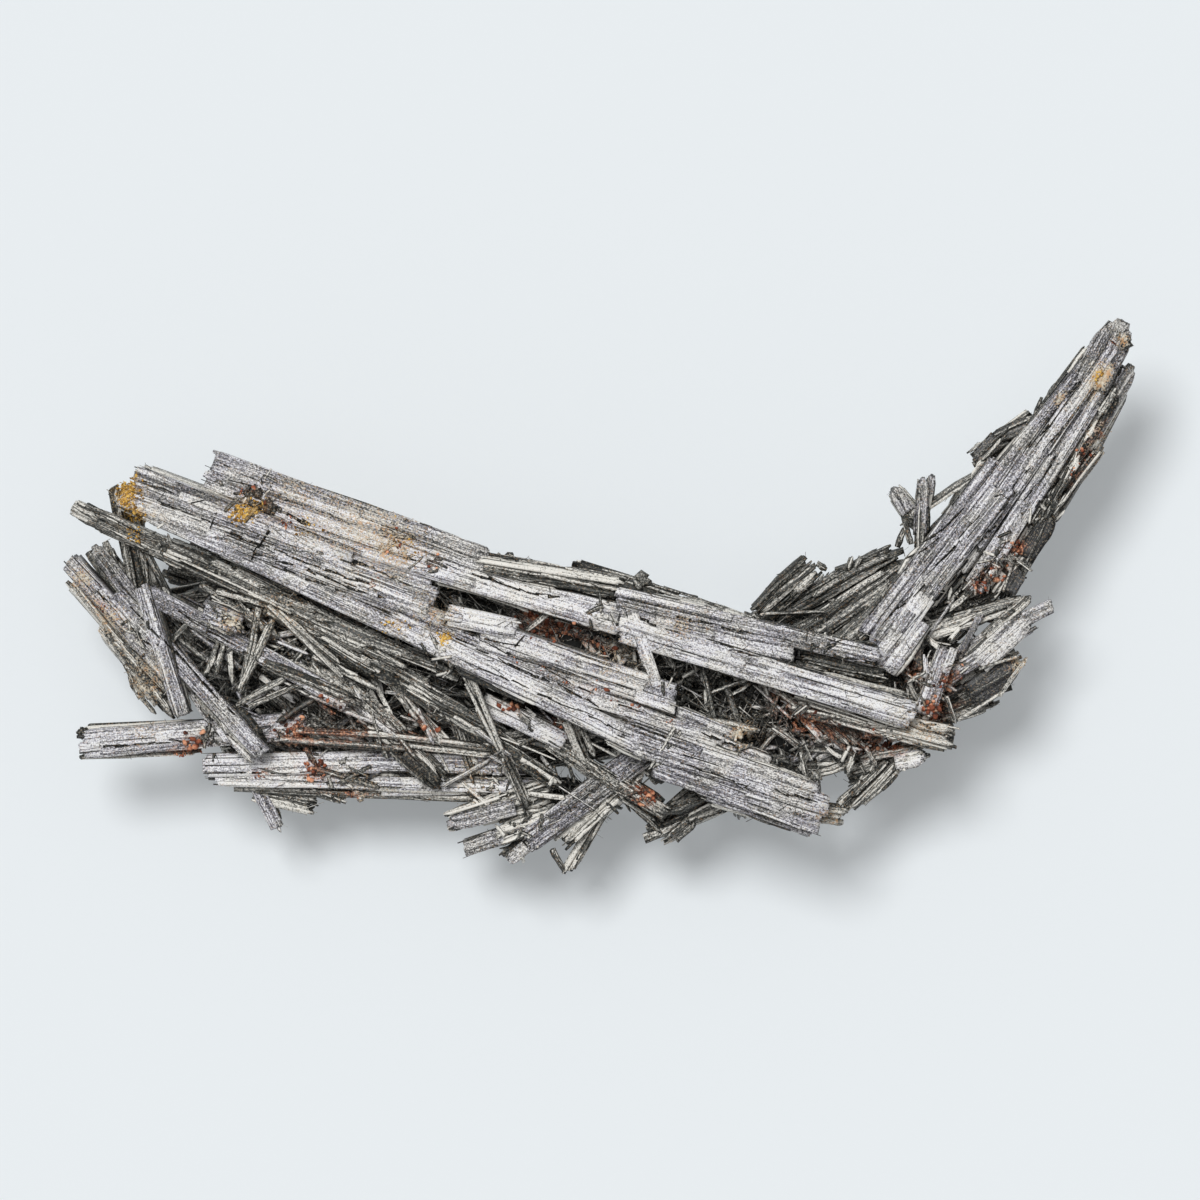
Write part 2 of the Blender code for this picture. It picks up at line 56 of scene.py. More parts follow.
# The blades of each group: foot, tip, width, depth, roll in degrees, and tone from dark to bright.
BLADES = {
    "upper_slab": [
        ((-58.4, 15.4, 34.5), (-30, 4.6, 35.5), 3.4, 5, 5, 0.92),
        ((-60.3, 13.2, 34), (-21, -1.2, 35.5), 3.2, 5.5, -4, 1.05),
        ((-56.6, 11.2, 34.5), (-24.5, -3.9, 35.8), 2.4, 4.5, 0, 0.92),
        ((-34, 7.4, 34.9), (-20.5, 2.4, 35.1), 1.8, 2.6, 0, 0.88),
        ((-34.5, 5.5, 35.1), (-19.8, 0.2, 35.5), 2.4, 3.5, 3, 0.94),
        ((-47, 8.2, 35.4), (-19, -3, 36.2), 2.6, 4, 6, 0.9),
    ],
    "middle_slab": [
        ((-26.5, -2.5, 36), (7, -18.9, 34.5), 3, 4.5, 0, 1.13),
        ((-30, 0.3, 35.8), (15, -18.3, 34), 2.4, 4, 4, 1.03),
        ((-16, -3.9, 35.5), (10, -12.6, 34.5), 4, 5, 3, 1.08),
        ((-4, -11.8, 36.4), (15.5, -17.6, 34.8), 1.6, 2.5, -6, 1),
        ((-19.5, -1.8, 37.7), (-9.8, -3.8, 37.4), 2.8, 2, 0, 1.18),
    ],
    "lower_right_slab": [
        ((2.6, -15.5, 35.2), (27.5, -24.3, 32.5), 2.8, 5, 4, 0.98),
        ((3.6, -17.8, 34.9), (29, -26, 32), 2.8, 5.5, -3, 1),
        ((6.2, -20.3, 34.2), (28, -28, 31.5), 2.8, 5, 5, 0.96),
        ((9.6, -16, 37), (6.6, -21, 36.3), 1.4, 1.4, 0, 0.8),
        ((13, -24.2, 32.5), (26.8, -29.1, 31), 1.8, 3.5, -8, 0.84),
        ((24, -26.4, 30.2), (30.5, -27, 29), 2.2, 3, 10, 0.7),
        ((9, -13.9, 33.5), (17.3, -17.2, 33), 2, 3, 0, 0.88),
        ((14, -17.4, 33.6), (21.5, -20.4, 32.5), 1.8, 3, 7, 0.98),
    ],
    "top_slab": [
        ((-49, 17, 33.5), (-14, 4.4, 34.5), 3.6, 5, -8, 0.9),
        ((-49.6, 15.4, 33), (-20, 3.6, 34.6), 2.8, 5, -4, 1.16),
        ((-40, 9.6, 34.5), (3, -3.2, 35.5), 3, 4.5, 2, 1.2),
        ((-16, 4.6, 34.8), (3, 1.2, 34), 2.8, 5, -6, 0.74),
        ((-22, 4, 35.3), (2.5, -1.2, 35.3), 1.8, 3, 5, 1.06),
    ],
    "right_blades": [
        ((1.5, 0.6, 34.8), (35, -7.3, 33.5), 2.5, 4, -4, 0.94),
        ((1.5, -1.4, 34.4), (24.8, -6.6, 34), 2.6, 4, 3, 0.86),
        ((2, -3.1, 35.4), (39.5, -14.3, 34), 3.7, 4.8, 4, 1.15),
        ((24, -12.6, 32.2), (43.5, -18, 30.4), 2.2, 3, 0, 0.78),
        ((36, -15.2, 31.2), (44.3, -17.3, 30.4), 2.8, 3.5, -5, 0.8),
        ((25, -7.1, 31.8), (36, -9.5, 31.4), 2.2, 3, 0, 0.6),
    ],
    "horn": [
        ((43.8, 8.2, 28.6), (62.6, 31.9, 31), 2.6, 5, 10, 0.88),
        ((44, 3.5, 28.4), (64.2, 32.6, 30.6), 3.2, 6, 0, 0.91),
        ((46.5, 1, 28), (65, 30.3, 30), 2.8, 5, -6, 0.92),
        ((54, 8.6, 27), (64.6, 27.2, 29), 3.2, 6, -12, 0.6),
        ((48.5, 1, 26), (62.3, 19.8, 27), 2.6, 5, -4, 0.74),
        ((49.8, 0.3, 23.8), (55.3, 10.3, 24.6), 2.6, 4, 5, 0.12),
        ((34.5, -6.8, 30), (51, 14.5, 30.6), 3.6, 5, -6, 0.96),
        ((33, -4.4, 28), (50, 18, 29.4), 2.6, 5, 8, 0.88),
        ((30, -5.4, 27), (45.5, 9.5, 28), 2.2, 4, -8, 0.66),
        ((28.5, -6.8, 27.5), (44, 5.5, 28.5), 2.4, 3.5, 6, 0.6),
        ((26, -5.2, 27), (42.5, 6.8, 28), 1.8, 3, 0, 0.5),
        ((41, 1.2, 32), (36.6, -5.4, 31.6), 2.8, 2.6, 0, 1.06),
        ((40, -1.8, 31), (34.8, -9, 30.6), 4.2, 4, 4, 1.06),
        ((42.5, 0.2, 26.6), (51, 10, 27.2), 2.8, 4, 0, 0.5),
        ((44, 3, 22.4), (63.6, 30.2, 26.4), 5, 4, 18, 0.5),
        ((38, -4, 20.6), (59, 22.6, 23.4), 5, 4.2, -14, 0.45),
        ((54.4, 22.9, 28), (46.8, 17.6, 28), 2.2, 1.6, 20, 0.66),
        ((52.4, 19.9, 27.8), (46.8, 16.9, 27.2), 1.2, 1.4, 0, 0.6),
    ],
    "sprigs_beside_the_horn": [
        ((40.3, 6, 27), (40.2, 15.3, 28.5), 1.7, 1.6, 0, 0.62),
        ((40.4, 9, 26.5), (36.9, 13.6, 27.5), 2, 1.8, 0, 0.76),
        ((40.6, 10, 26.2), (41.7, 15.6, 27), 1.3, 1.3, 0, 0.6),
        ((40.2, 11.2, 26.4), (48.4, 16.6, 27.6), 1.2, 1.3, 0, 0.56),
        ((19.6, -2, 26), (26.5, 4.6, 27), 3, 2.6, 15, 0.2),
        ((20.5, -3.1, 24.5), (37, 6, 26), 2.6, 2.8, -20, 0.2),
        ((29.6, 3.6, 26), (38, 6.2, 26.4), 1.2, 1.2, 0, 0.05),
        ((23, -5, 26), (38, 4.4, 27), 1.8, 2.2, 0, 0.42),
    ],
    "right_fan": [
        ((40, -11.2, 26), (54.2, -2.1, 27.4), 3.6, 3, -8, 0.86),
        ((51, -3.4, 27.3), (57, -0.5, 28), 1.9, 1.8, 0, 0.9),
        ((37, -5.6, 27), (52.3, -0.5, 27), 1.8, 1.8, 0, 0.8),
        ((37.5, -4, 26), (54, 0.4, 27), 1.3, 1.6, 0, 0.66),
        ((40.2, -14.8, 30), (43.6, -5.5, 30.6), 2.6, 2.6, 12, 1),
        ((41, -11.8, 22), (52.6, -7.2, 24), 2.4, 2.2, 0, 0.44),
        ((41, -13.8, 21.6), (51.3, -9.6, 23), 2.7, 2.2, 8, 0.38),
        ((41, -15.4, 21), (49.9, -12.6, 22), 1.8, 2, 0, 0.5),
        ((39, -3.6, 24), (50, 1.4, 25), 1.7, 1.7, 0, 0.7),
        ((30, -26.2, 21.5), (37, -20.3, 24), 1.8, 2.2, 0, 0.8),
        ((31, -21.8, 22), (41, -18.6, 24), 2.6, 3.2, 10, 0.72),
        ((24, -20.6, 20), (33.5, -20.6, 22), 1.6, 2.2, 0, 0.7),
        ((34.4, -14, 21), (35.4, -22.4, 21.6), 1.6, 2.2, 0, 0.7),
    ],
    "bottom_tangle": [
        ((-19.3, -28, 22), (-6, -23.2, 24), 2.4, 3, 0, 0.82),
        ((-17.5, -31.2, 21), (-2, -26.2, 24), 2.2, 3, 8, 0.835),
        ((-13, -29.9, 22), (0, -25, 24.5), 2, 3, -5, 0.82),
        ((-9.5, -30.5, 23), (5.6, -18.9, 27), 3.4, 3, 8, 0.84),
        ((-5, -30.5, 22), (5, -21.6, 26), 2.6, 3, -10, 0.82),
        ((-4.2, -34.6, 20), (2.8, -22.2, 25), 1.4, 1.7, 0, 0.75),
        ((-11.8, -32.6, 20), (-8.4, -29.4, 22), 1.9, 1.8, 0, 0.75),
        ((-15.2, -12.5, 29), (-3.8, -18, 28), 2.8, 3, 0, 1.13),
        ((-6.6, -17.6, 28.6), (8.3, -27, 25.8), 1.9, 2.1, 0, 0.62),
        ((3.2, -24.4, 23), (7.8, -28.5, 21), 1.5, 1.7, 0, 0.75),
        ((5.6, -29.6, 19), (17, -25, 22.6), 2.1, 2.6, 0, 0.81),
        ((8, -27.8, 19.8), (17.5, -20.5, 24.5), 2.6, 2.6, 10, 0.45),
        ((7.8, -29.9, 18.5), (11.4, -27.6, 20), 2.3, 1.9, 0, 0.75),
        ((17.6, -26.6, 24.2), (17.2, -23, 31), 1.8, 1.8, 0, 0.75),
    ],
    "low_prisms": [
        ((-65.6, -18, 25), (-36, -15.4, 24), 3.7, 4.2, 10, 1.1),
        ((-65.3, -19.5, 24.2), (-50, -18.2, 24), 1.3, 2.2, 0, 0.8),
        ((-50, -20.9, 22), (-27, -20.3, 23), 3, 4, -6, 1.02),
        ((-30, -20.1, 23), (-8.5, -20.7, 22.6), 2.6, 4, 6, 1.06),
        ((-48.5, -22.4, 22), (-6, -23.4, 22.4), 1.8, 3, 0, 1.2),
        ((-46, -23.6, 21), (-12.6, -25.2, 21.6), 1.1, 2.2, 0, 0.82),
        ((-45.6, -18.5, 21.4), (-40.4, -28.9, 18.6), 1.8, 2.2, 0, 0.92),
        ((-43.6, -24, 19.6), (-35.8, -25.9, 19), 2.4, 2.6, 8, 0.82),
        ((-39, -22, 21.4), (-31.9, -25.2, 20), 1.8, 2.2, 0, 0.8),
    ],
    "left_fan": [
        ((-66.6, 5.4, 28), (-52, -10.6, 27), 2.6, 3.5, 15, 0.85),
        ((-66.3, 3, 26), (-53.6, -11.4, 26), 2.4, 3, 0, 0.76),
        ((-62.3, -2.5, 24), (-52.5, -14.2, 23.4), 3, 2.4, 0, 0.55),
        ((-61, 1.2, 29), (-41.9, -19.6, 28.4), 2.3, 2.8, -8, 0.86),
        ((-63.3, 6.6, 25.2), (-53.5, -7.4, 24.6), 3, 2.6, -20, 0.6),
        ((-59.6, 14.4, 30), (-57.2, 0.6, 25.6), 3, 2.8, 12, 0.42),
        ((-57.1, 2.2, 30.8), (-51.9, -14.8, 29.4), 2.1, 2.4, 20, 0.9),
        ((-66, 11.7, 30.4), (-38, -0.8, 32), 2.3, 2.4, 6, 0.72),
        ((-63, 9.6, 29.8), (-49, 3.4, 31), 1.7, 1.7, 0, 0.6),
        ((-60.4, -4.6, 23.2), (-57.2, -12.4, 21.4), 1.9, 2, 0, 0.66),
        ((-58.6, -8, 23), (-53.2, -14.4, 22.4), 1.4, 1.6, 0, 0.5),
    ],
    "inner_blades": [
        ((-56.6, 1, 30.2), (-31, -13, 29), 2.3, 2.6, 8, 0.84),
        ((-42.6, -1, 31.6), (-44.8, -11.4, 29.8), 1.2, 1.5, 0, 0.62),
        ((-49.8, -1, 32.7), (-44.5, -3.2, 32.5), 2.7, 2.4, 8, 0.85),
        ((-41.4, -0.6, 32), (-32, -9.2, 31), 1.4, 1.6, 0, 0.6),
        ((-48, 4.2, 31.2), (-24, -8, 31.6), 2, 2.6, 0, 0.5),
        ((-46, 1.9, 30), (-20, -12.6, 29.8), 2.2, 2.4, 10, 0.6),
        ((-39, -2, 30.6), (-12, -17.2, 29.4), 1.9, 2.4, 0, 0.7),
        ((-34.5, -2.6, 32), (-17, -9.6, 32.6), 1.6, 2, 0, 0.55),
        ((-29, -8, 30.6), (-5, -23.2, 26.4), 1.8, 2, 0, 0.74),
        ((-26, -10.4, 29.4), (-19.3, -18.3, 26.6), 1.5, 1.7, 0, 0.7),
        ((-20.1, -1.6, 37.9), (-15.4, -12.2, 33.6), 1.1, 1.3, 0, 0.5),
        ((-16.6, -9.6, 33.8), (-8.8, -26.6, 25.4), 1.4, 1.5, 0, 0.62),
        ((-18.3, -14, 27.6), (-15.7, -22.2, 24), 1.5, 1.6, 0, 0.8),
        ((3.9, -1.4, 37.2), (7, -10.4, 36.6), 1.5, 1.5, 0, 1.1),
        ((-4.6, -14, 33), (-1.4, -20.6, 26.8), 1.6, 1.7, 0, 0.6),
        ((-10.5, -2.5, 24), (4.5, -7.5, 26), 2.6, 3, 30, 0.35),
    ],
    "back_blades": [
        ((-55, 5.5, 2.1), (-4, -13, 1.7), 5, 4.6, 0, 0.5),
        ((-40, 9.5, 2.1), (24, -8.5, 1.7), 5.4, 4.6, 0, 0.5),
        ((-14, -20.5, 2), (42, -9, 1.8), 4.8, 4.8, 0, 0.5),
        ((-47, -17.5, 1.9), (-9, -17, 1.8), 4.4, 4.6, 0, 0.5),
        ((-26, -13, 3.6), (12, -15, 3.2), 4.4, 4.4, 12, 0.5),
        ((6, -3, 4.4), (36, -13, 4), 4.8, 4.2, -10, 0.5),
        ((-50, -4, 5), (-22, -9, 4), 4.4, 4.4, 15, 0.5),
        ((-60, -2, 9), (-24, 4, 7.5), 4.2, 4, 24, 0.5),
        ((-15.5, 4.5, 13), (9, -22, 6), 4, 3.6, 10, 0.5),
        ((14, -25, 9), (30, 3, 12), 3.8, 3.6, -12, 0.5),
        ((-48, 13, 16), (-8, -2, 12), 5, 4.4, 35, 0.5),
        ((-36, -24, 11), (-20, 7, 13), 3.4, 3.2, 0, 0.5),
        ((-32, -20, 13), (-3, -26.5, 15), 3.4, 3.6, 20, 0.5),
        ((26, -20, 8), (49, 2, 15), 4.6, 4, 14, 0.5),
        ((34, -14, 13), (48, 8, 19), 4.6, 4, 30, 0.5),
        ((18, -2, 18), (42, -16, 10), 3.4, 3.4, 0, 0.5),
        ((-57.5, -6, 15), (-36, -7, 12), 3.2, 3, 15, 0.5),
        ((-4, 3, 18), (20, -5, 20), 4, 4.4, -30, 0.5),
        ((-44, -21, 12), (-58, 4, 17), 3.4, 3.2, -20, 0.5),
        ((13, -24.6, 11), (36, -17, 15), 3.4, 3.2, 0, 0.5),
        ((24.5, 0, 17), (43, 4.5, 21), 3, 3, 10, 0.45),
        ((26, -2.5, 12.5), (46, 2.5, 16.5), 3.4, 3.4, -10, 0.45),
    ],
}

# Blades with a rounded end, in the same order of values.
ROUNDED = [
    ((59.9, 24.5, 31), (65.7, 35.5, 32), 4.8, 4.4, 0, 0.56),
    ((60.4, 19, 29.2), (66.7, 29.9, 30.4), 2.6, 2.4, 0, 0.36),
    ((40, 7, 27), (40.4, 15.7, 29.4), 1.7, 1.6, 0, 0.42),
    ((38.9, 10.4, 27), (36.6, 14.2, 29), 2, 1.6, 10, 0.72),
    ((41, 12, 26.6), (41.6, 15.9, 28), 1.3, 1.3, 0, 0.4),
    ((-56, -3, 26.4), (-63.7, 7.1, 28.6), 2.2, 2, 10, 0.42),
    ((-9, -25.5, 24.6), (-19.6, -28.3, 24.6), 2.2, 1.8, 0, 0.5),
    ((36, -20.6, 27.6), (41, -19.5, 28.2), 2.3, 2, 0, 0.95),
    ((-8.6, -30.2, 24), (-11.6, -33, 23.2), 1.7, 1.5, 0, 0.62),
    ((45.6, -9.4, 28), (54.2, -1.7, 28.9), 3.2, 1.6, 6, 0.8),
    ((44.6, -13.4, 26), (53, -7.2, 27.2), 3.5, 1.6, 8, 0),
    ((52.1, 3.8, 28.8), (56.9, 11, 29.2), 2.6, 1.6, 0, -0.3),
    ((50.7, 0.2, 28.2), (52.9, 4, 28.5), 2, 1.6, 0, 0),
    ((55, 22.6, 29), (48.6, 20, 28.6), 1.9, 1.8, 10, 0.08),
    ((50.6, 21.2, 28.9), (46.7, 17, 28.4), 2.1, 1.8, 10, 0.12),
]

# Thin sticks and splinters that lie in and over the hollows: foot, tip, width and tone.
STICKS = [
    ((-40.8, -2.6, 31.6), (-45, -11.6, 30), 1.1, 0.66), ((-40, -1.7, 31.4), (-32.5, -9, 31), 1.2, 0.6),
    ((-45.3, -0.3, 31), (-41.5, -4.3, 31), 0.9, 0.6), ((-47.8, -5.2, 30.4), (-49.4, -9.6, 30), 0.8, 0.7),
    ((-47, -5.4, 30.6), (-48.3, -9.8, 30.2), 0.8, 0.55), ((-46.3, -5.4, 30.2), (-46, -10.6, 30), 0.8, 0.7),
    ((-51.2, -2.5, 31), (-53.6, -5.2, 30.4), 0.8, 0.6), ((-52.5, -5, 30.4), (-49.3, -7.5, 30.4), 0.8, 0.7),
    ((-45.5, -13.2, 29.4), (-37.5, -8.5, 30.4), 1, 0.75), ((-44, -13.3, 29), (-36, -10, 30.2), 1, 0.6),
    ((-42, -8, 30.6), (-30, -13, 30.2), 1.6, 0.7), ((-36, -7, 31), (-28, -11, 31), 1, 0.7),
    ((-26.3, -10, 30.6), (-20.3, -17.8, 28), 1.4, 0.8), ((-6.5, -1.5, 35.4), (-9.3, -3.8, 34.6), 0.9, 0.75),
    ((-3.8, -15.4, 31), (-2.3, -18.9, 29), 0.9, 0.55), ((-2.2, -16, 31), (-0.6, -19.6, 29), 0.9, 0.6),
    ((-4.7, -19, 29), (-3.1, -23, 26), 0.5, 0.2), ((12.8, -8.3, 31.8), (14.4, -15.2, 31), 0.8, 0.6),
    ((14, -11.5, 32), (18.5, -10, 32.4), 0.6, 0.7), ((16.2, -12, 31), (19, -10.3, 31.6), 0.5, 0.5),
    ((22.3, -12, 31), (21.4, -14.8, 30.4), 0.5, 0.5), ((21.5, -10.8, 31.4), (26.5, -14.3, 31), 0.9, 0.65),
    ((21.5, -15.8, 30.6), (25.3, -18.5, 30.2), 1.1, 0.7), ((25, -19, 29.6), (26, -22.6, 29), 0.8, 0.8),
    ((26, -22.3, 28.6), (31, -20.5, 28.2), 1.3, 0.65), ((31.8, -19, 28.4), (30.9, -21.8, 28), 1.1, 0.7),
    ((33.2, -18.3, 28.8), (34.8, -21, 27.8), 0.7, 0.6), ((34, -19.8, 27.6), (41, -18.2, 27.6), 1, 0.7),
    ((13, -14.8, 33.6), (20, -16.3, 32.8), 1.2, 0.8), ((37, -20.5, 26.4), (31.8, -26, 23.8), 1.2, 0.7),
    ((38, -20.9, 26), (33.2, -25.6, 23.6), 0.8, 0.8), ((36, -20.1, 26.2), (30.9, -25.4, 23.8), 0.8, 0.6),
    ((37.5, -20.3, 28), (40.6, -19.6, 28), 2.2, 0.85), ((-38, -16.3, 28.4), (-26, -16.9, 28), 0.9, 0.6),
    ((-40, -17.4, 27.6), (-24, -18.6, 27.4), 1, 0.6), ((-30, -16.6, 28), (-13, -18.6, 27.2), 1.2, 0.6),
    ((-27, -17.9, 27), (-13.6, -19.4, 26.6), 0.8, 0.5), ((-6, -31.3, 22), (-4.4, -34, 21), 0.9, 0.5),
    ((-9.5, -30.8, 23.6), (-11.2, -32.8, 22.6), 1.4, 0.6), ((4, -23, 27), (8.1, -27, 23.6), 1.6, 0.5),
    ((11, -27.5, 24), (8.5, -29.8, 22.6), 1, 0.5), ((12, -27.9, 23.8), (9.6, -30.2, 22.4), 0.8, 0.4),
    ((13, -24.5, 25), (8.2, -26.5, 24), 2, 0.35), ((40.6, -9, 33.4), (38.2, -10.4, 33.8), 0.6, 0.9),
    ((43.3, -12, 31), (44.4, -15.5, 30), 0.8, 0.8), ((48, -4.5, 28.6), (53.7, 0.3, 28.4), 1.4, 0.75),
    ((47, -8, 28.2), (52, -4.2, 28), 1.2, 0.75), ((45.8, 0.5, 29), (51, 7.5, 29.4), 1.2, 0.4),
    ((51.6, 0.8, 28), (56, 9, 28.6), 1, 0.3), ((54.5, 10, 30.2), (58.4, 12.6, 28.8), 0.4, 1),
    ((54.3, 23.3, 30), (55.2, 25.4, 30), 0.5, 0.3), ((55.6, 24.8, 30), (57, 27.2, 30), 0.5, 0.3),
    ((37.5, 9.4, 27.4), (38.5, 9.8, 27.4), 0.3, 0.5), ((37.2, 6.6, 27.4), (38.1, 9, 27.4), 0.9, 0.5),
    ((39, 7, 27.6), (37.8, 11.2, 27.6), 0.9, 0.4), ((20, -1.8, 29), (28, -1.5, 29.4), 0.6, 0.5),
    ((22, 0.5, 28), (27, 4.4, 28), 0.9, 0.35), ((27.2, 4.6, 27.8), (28.4, 3.9, 27.8), 0.9, 0.4),
    ((31, 3.8, 27.6), (31.6, 5.4, 27.6), 0.8, 0.4), ((32, 3.9, 27.6), (32.6, 5.5, 27.6), 0.7, 0.4),
    ((-58.2, -11.6, 25.6), (-55.6, -14.3, 25), 0.7, 0.5),
    ((-56.3, -10.8, 27), (-53.8, -14.5, 26.4), 1, 0.55), ((-62, 7.3, 27), (-60.4, 3.8, 27), 1.2, 0.4),
    ((-58.6, 9.4, 29), (-54, 0.6, 30), 0.9, 0.35), ((-49.6, 4.6, 31), (-38.5, 0.6, 31.6), 0.8, 0.45),
    ((-50, 2, 30.6), (-40, -4.6, 30.8), 1, 0.45), ((-48, 1.2, 31), (-42, -0.6, 31.4), 1, 0.7),
    ((44.8, -15, 27.6), (50.8, -11.2, 28.4), 0.6, 0.8), ((50, -12, 28.4), (53.4, -7.2, 29.2), 0.7, 0.85),
    ((46.4, -11.8, 28.9), (51.6, -8.8, 29.3), 0.4, 0.4), ((47.4, -8.6, 29), (52.4, -7, 29.2), 0.5, 0.7),
    ((53.2, 4.4, 29.9), (55.8, 9.6, 30.2), 0.3, 0.5), ((51.4, 5.6, 30.2), (54, 3.6, 29.8), 0.5, 0.75),
    ((50.5, 1, 29.4), (51.6, 4.6, 29.7), 0.4, 0.6), ((-63.8, 0.6, 28.4), (-60.2, -4, 28), 0.6, 1.1),
    ((-59.4, -6, 26.4), (-55.4, -11.6, 26), 0.6, 1), ((54.6, 23, 30.3), (49.4, 20.7, 29.9), 0.45, 0.6),
    ((54, 21.7, 30.2), (49.2, 19.6, 29.8), 0.45, 0.35), ((51.2, 21.7, 30.1), (47.4, 18.1, 29.6), 0.5, 0.55),
    ((50.2, 20.2, 30.1), (47, 16.7, 29.5), 0.5, 0.75), ((50.8, 20.9, 30.2), (47.7, 17.3, 29.7), 0.35, 0.2),
]

# The plan of the massive part of the cluster, and the gaps that can be seen through: x, y, radius.
MASS_PLAN = [
    (-58, 3), (-56, 12), (-47, 15.5), (-30, 10.5), (-14, 5), (2, 1), (20, -2.5), (33, -4), (42, 4),
    (50, 12), (57, 18), (56, 10), (49, 0), (51, -6), (44, -14), (34, -21), (27, -26), (12, -24.5), (4, -27),
    (-7, -27.5), (-18, -25), (-36, -23.5), (-46, -21), (-54, -11),
]
OPEN_GAPS = [
    (-56, 9.2, 1.6), (-53.5, 7.6, 0.9), (-51.6, 6.8, 0.9), (-54.6, 2.8, 2.4), (-19.4, -16, 1.3),
    (-3.4, -21.5, 1.3), (8.4, -24, 2), (31, -23.8, 1.6), (8.5, -10.3, 0.6), (-13.5, -24.2, 1),
    (43.2, 11.8, 1),
]

# Lumps of matted needles in the hollows: centre and radii, then how many needles stand on each.
FELT = [
    ((-40, -6, 16.5), (12.6, 6.6, 12)), ((-36, 5, 21), (14.5, 4.6, 10.4)),
    ((-20, -4.5, 17.5), (13.6, 7.1, 14)), ((-34, -15.5, 13.5), (12.6, 4.6, 10)),
    ((-3, -8.5, 17.5), (13.6, 7.6, 11.6)), ((20, -15.5, 15.5), (13.6, 6.6, 12.5)),
    ((14, -6.4, 20), (13.6, 4.2, 9.6)), ((37, -9.4, 16.6), (7.8, 6.8, 9.2)),
    ((-6, -25, 16), (6.1, 2.9, 5.4)),
]
FELT_NEEDLES = 8 * [1600] + [300]

# Where the colour changes, in plan: x, y, radius and strength.
RUST = [
    (-20.8, 4.4, 0.9, 1), (52.1, 6.8, 0.9, 2.6), (26.6, -15.3, 2, 1), (-31, -16.5, 1.7, 0.9),
    (-38.5, -16.4, 1.7, 0.8), (-37.4, -18, 1.2, 0.9), (5.5, -24.5, 1.4, 0.9), (-36, -21.5, 1.4, 0.8),
    (-42, 12, 2, 0.7), (-33.6, -13.9, 1.8, 0.7), (-5, -4, 3, 0.9), (-9, -2, 2, 0.7), (0, -6, 2, 0.5),
    (22, -12.5, 1.6, 0.6), (34, -17.5, 1.8, 0.8), (24, -15, 1.8, 0.7), (37, -18.4, 1.2, 0.9),
    (29.8, -16.2, 1.2, 0.7), (49.6, 3.6, 1.4, 0.5), (47.4, 1.9, 1.2, 0.7), (42, -14, 1.6, 0.9),
    (39, -9, 1.6, 0.8), (-23, -16.5, 2.2, 0.6), (-1, -11.2, 1.6, 0.6), (3.5, -12.8, 1.4, 0.6),
    (-25.5, 6.8, 2, 0.7), (-30, -1.5, 1.4, 0.5), (-11, -12.8, 1.6, 0.5), (-4.6, -15.2, 1.4, 0.5),
    (-10.5, -7.4, 0.5, 0.7), (-7, -8.7, 0.5, 0.8), (-4.4, -10.1, 0.6, 1), (-0.7, -11.3, 0.6, 1),
    (1.5, -12.3, 0.5, 1), (4.5, -13.4, 0.6, 1), (8.6, -15.2, 0.5, 0.8), (64.3, 31.9, 0.6, 1.2),
    (44.2, -9.4, 0.7, 0.7), (45, -7.8, 0.5, 0.4), (46, -6, 0.5, 0.25), (-52.6, -19.2, 0.9, 0.8),
    (-62.6, -0.8, 0.7, 0.7), (-42.8, -22, 0.7, 1), (-31, -24.6, 0.8, 0.8), (62.6, 20.8, 0.7, 1),
    (59.3, 15.6, 0.7, 0.8), (-44.3, 13.8, 0.6, 1.4), (-39, 9.8, 0.8, 2.2), (-41.6, 11.6, 0.6, 0.8),
    (-28.3, 2.2, 0.6, 1.2), (26.7, -15.4, 0.8, 2), (20, -18, 1.2, 0.5), (43.5, -10, 1.6, 0.6),
    (60.5, 18, 1.2, 0.4), (-51, -18.3, 1.6, 0.4),
]
CREAM = [
    (62.8, 28.6, 1, 2), (61.8, 27, 0.9, 2), (65.2, 32.4, 0.8, 1.2), (57.4, 25, 0.8, 1),
    (-46, -2.6, 1.6, 0.7), (17.8, -16.8, 1.6, 0.9), (-30, 9, 6, 0.45), (-25, 6, 3, 0.55),
    (-38, 13.5, 5, 0.28), (2, -7, 3, 0.5), (-20, -1.5, 2.4, 0.6), (-16, -22, 3, 0.4), (-40, -2, 3, 0.5),
    (28.5, -27, 2, 0.5), (64, 20, 3, 0.5), (-57, -16.5, 2, 0.4), (-61.5, -2.5, 2, 0.8),
    (-57, -10, 2.5, 0.8), (-64.8, 2.6, 1.5, 0.8), (52.4, -8, 1.2, 0.7), (40, -16, 3, 0.5),
    (-30, -24.5, 3, 0.4), (10, -3, 2, 0.5),
]
OCHRE = [
    (-59, 14.2, 1.5, 1.3), (-58.9, 12.4, 1.2, 1), (-57.8, 10.6, 1, 1), (-44.6, 10.9, 1.3, 1.3),
    (-42.8, 11.6, 1, 0.7), (-25.4, -3, 1.3, 0.4), (-19.3, -4.8, 0.7, 2.2), (-58, 8.4, 1, 0.4),
    (-23, 6, 1, 0.2), (62.4, 28, 0.8, 0.8), (-24.6, 7.2, 1.6, 0.1), (-37, 9.2, 1.4, 0.2),
]

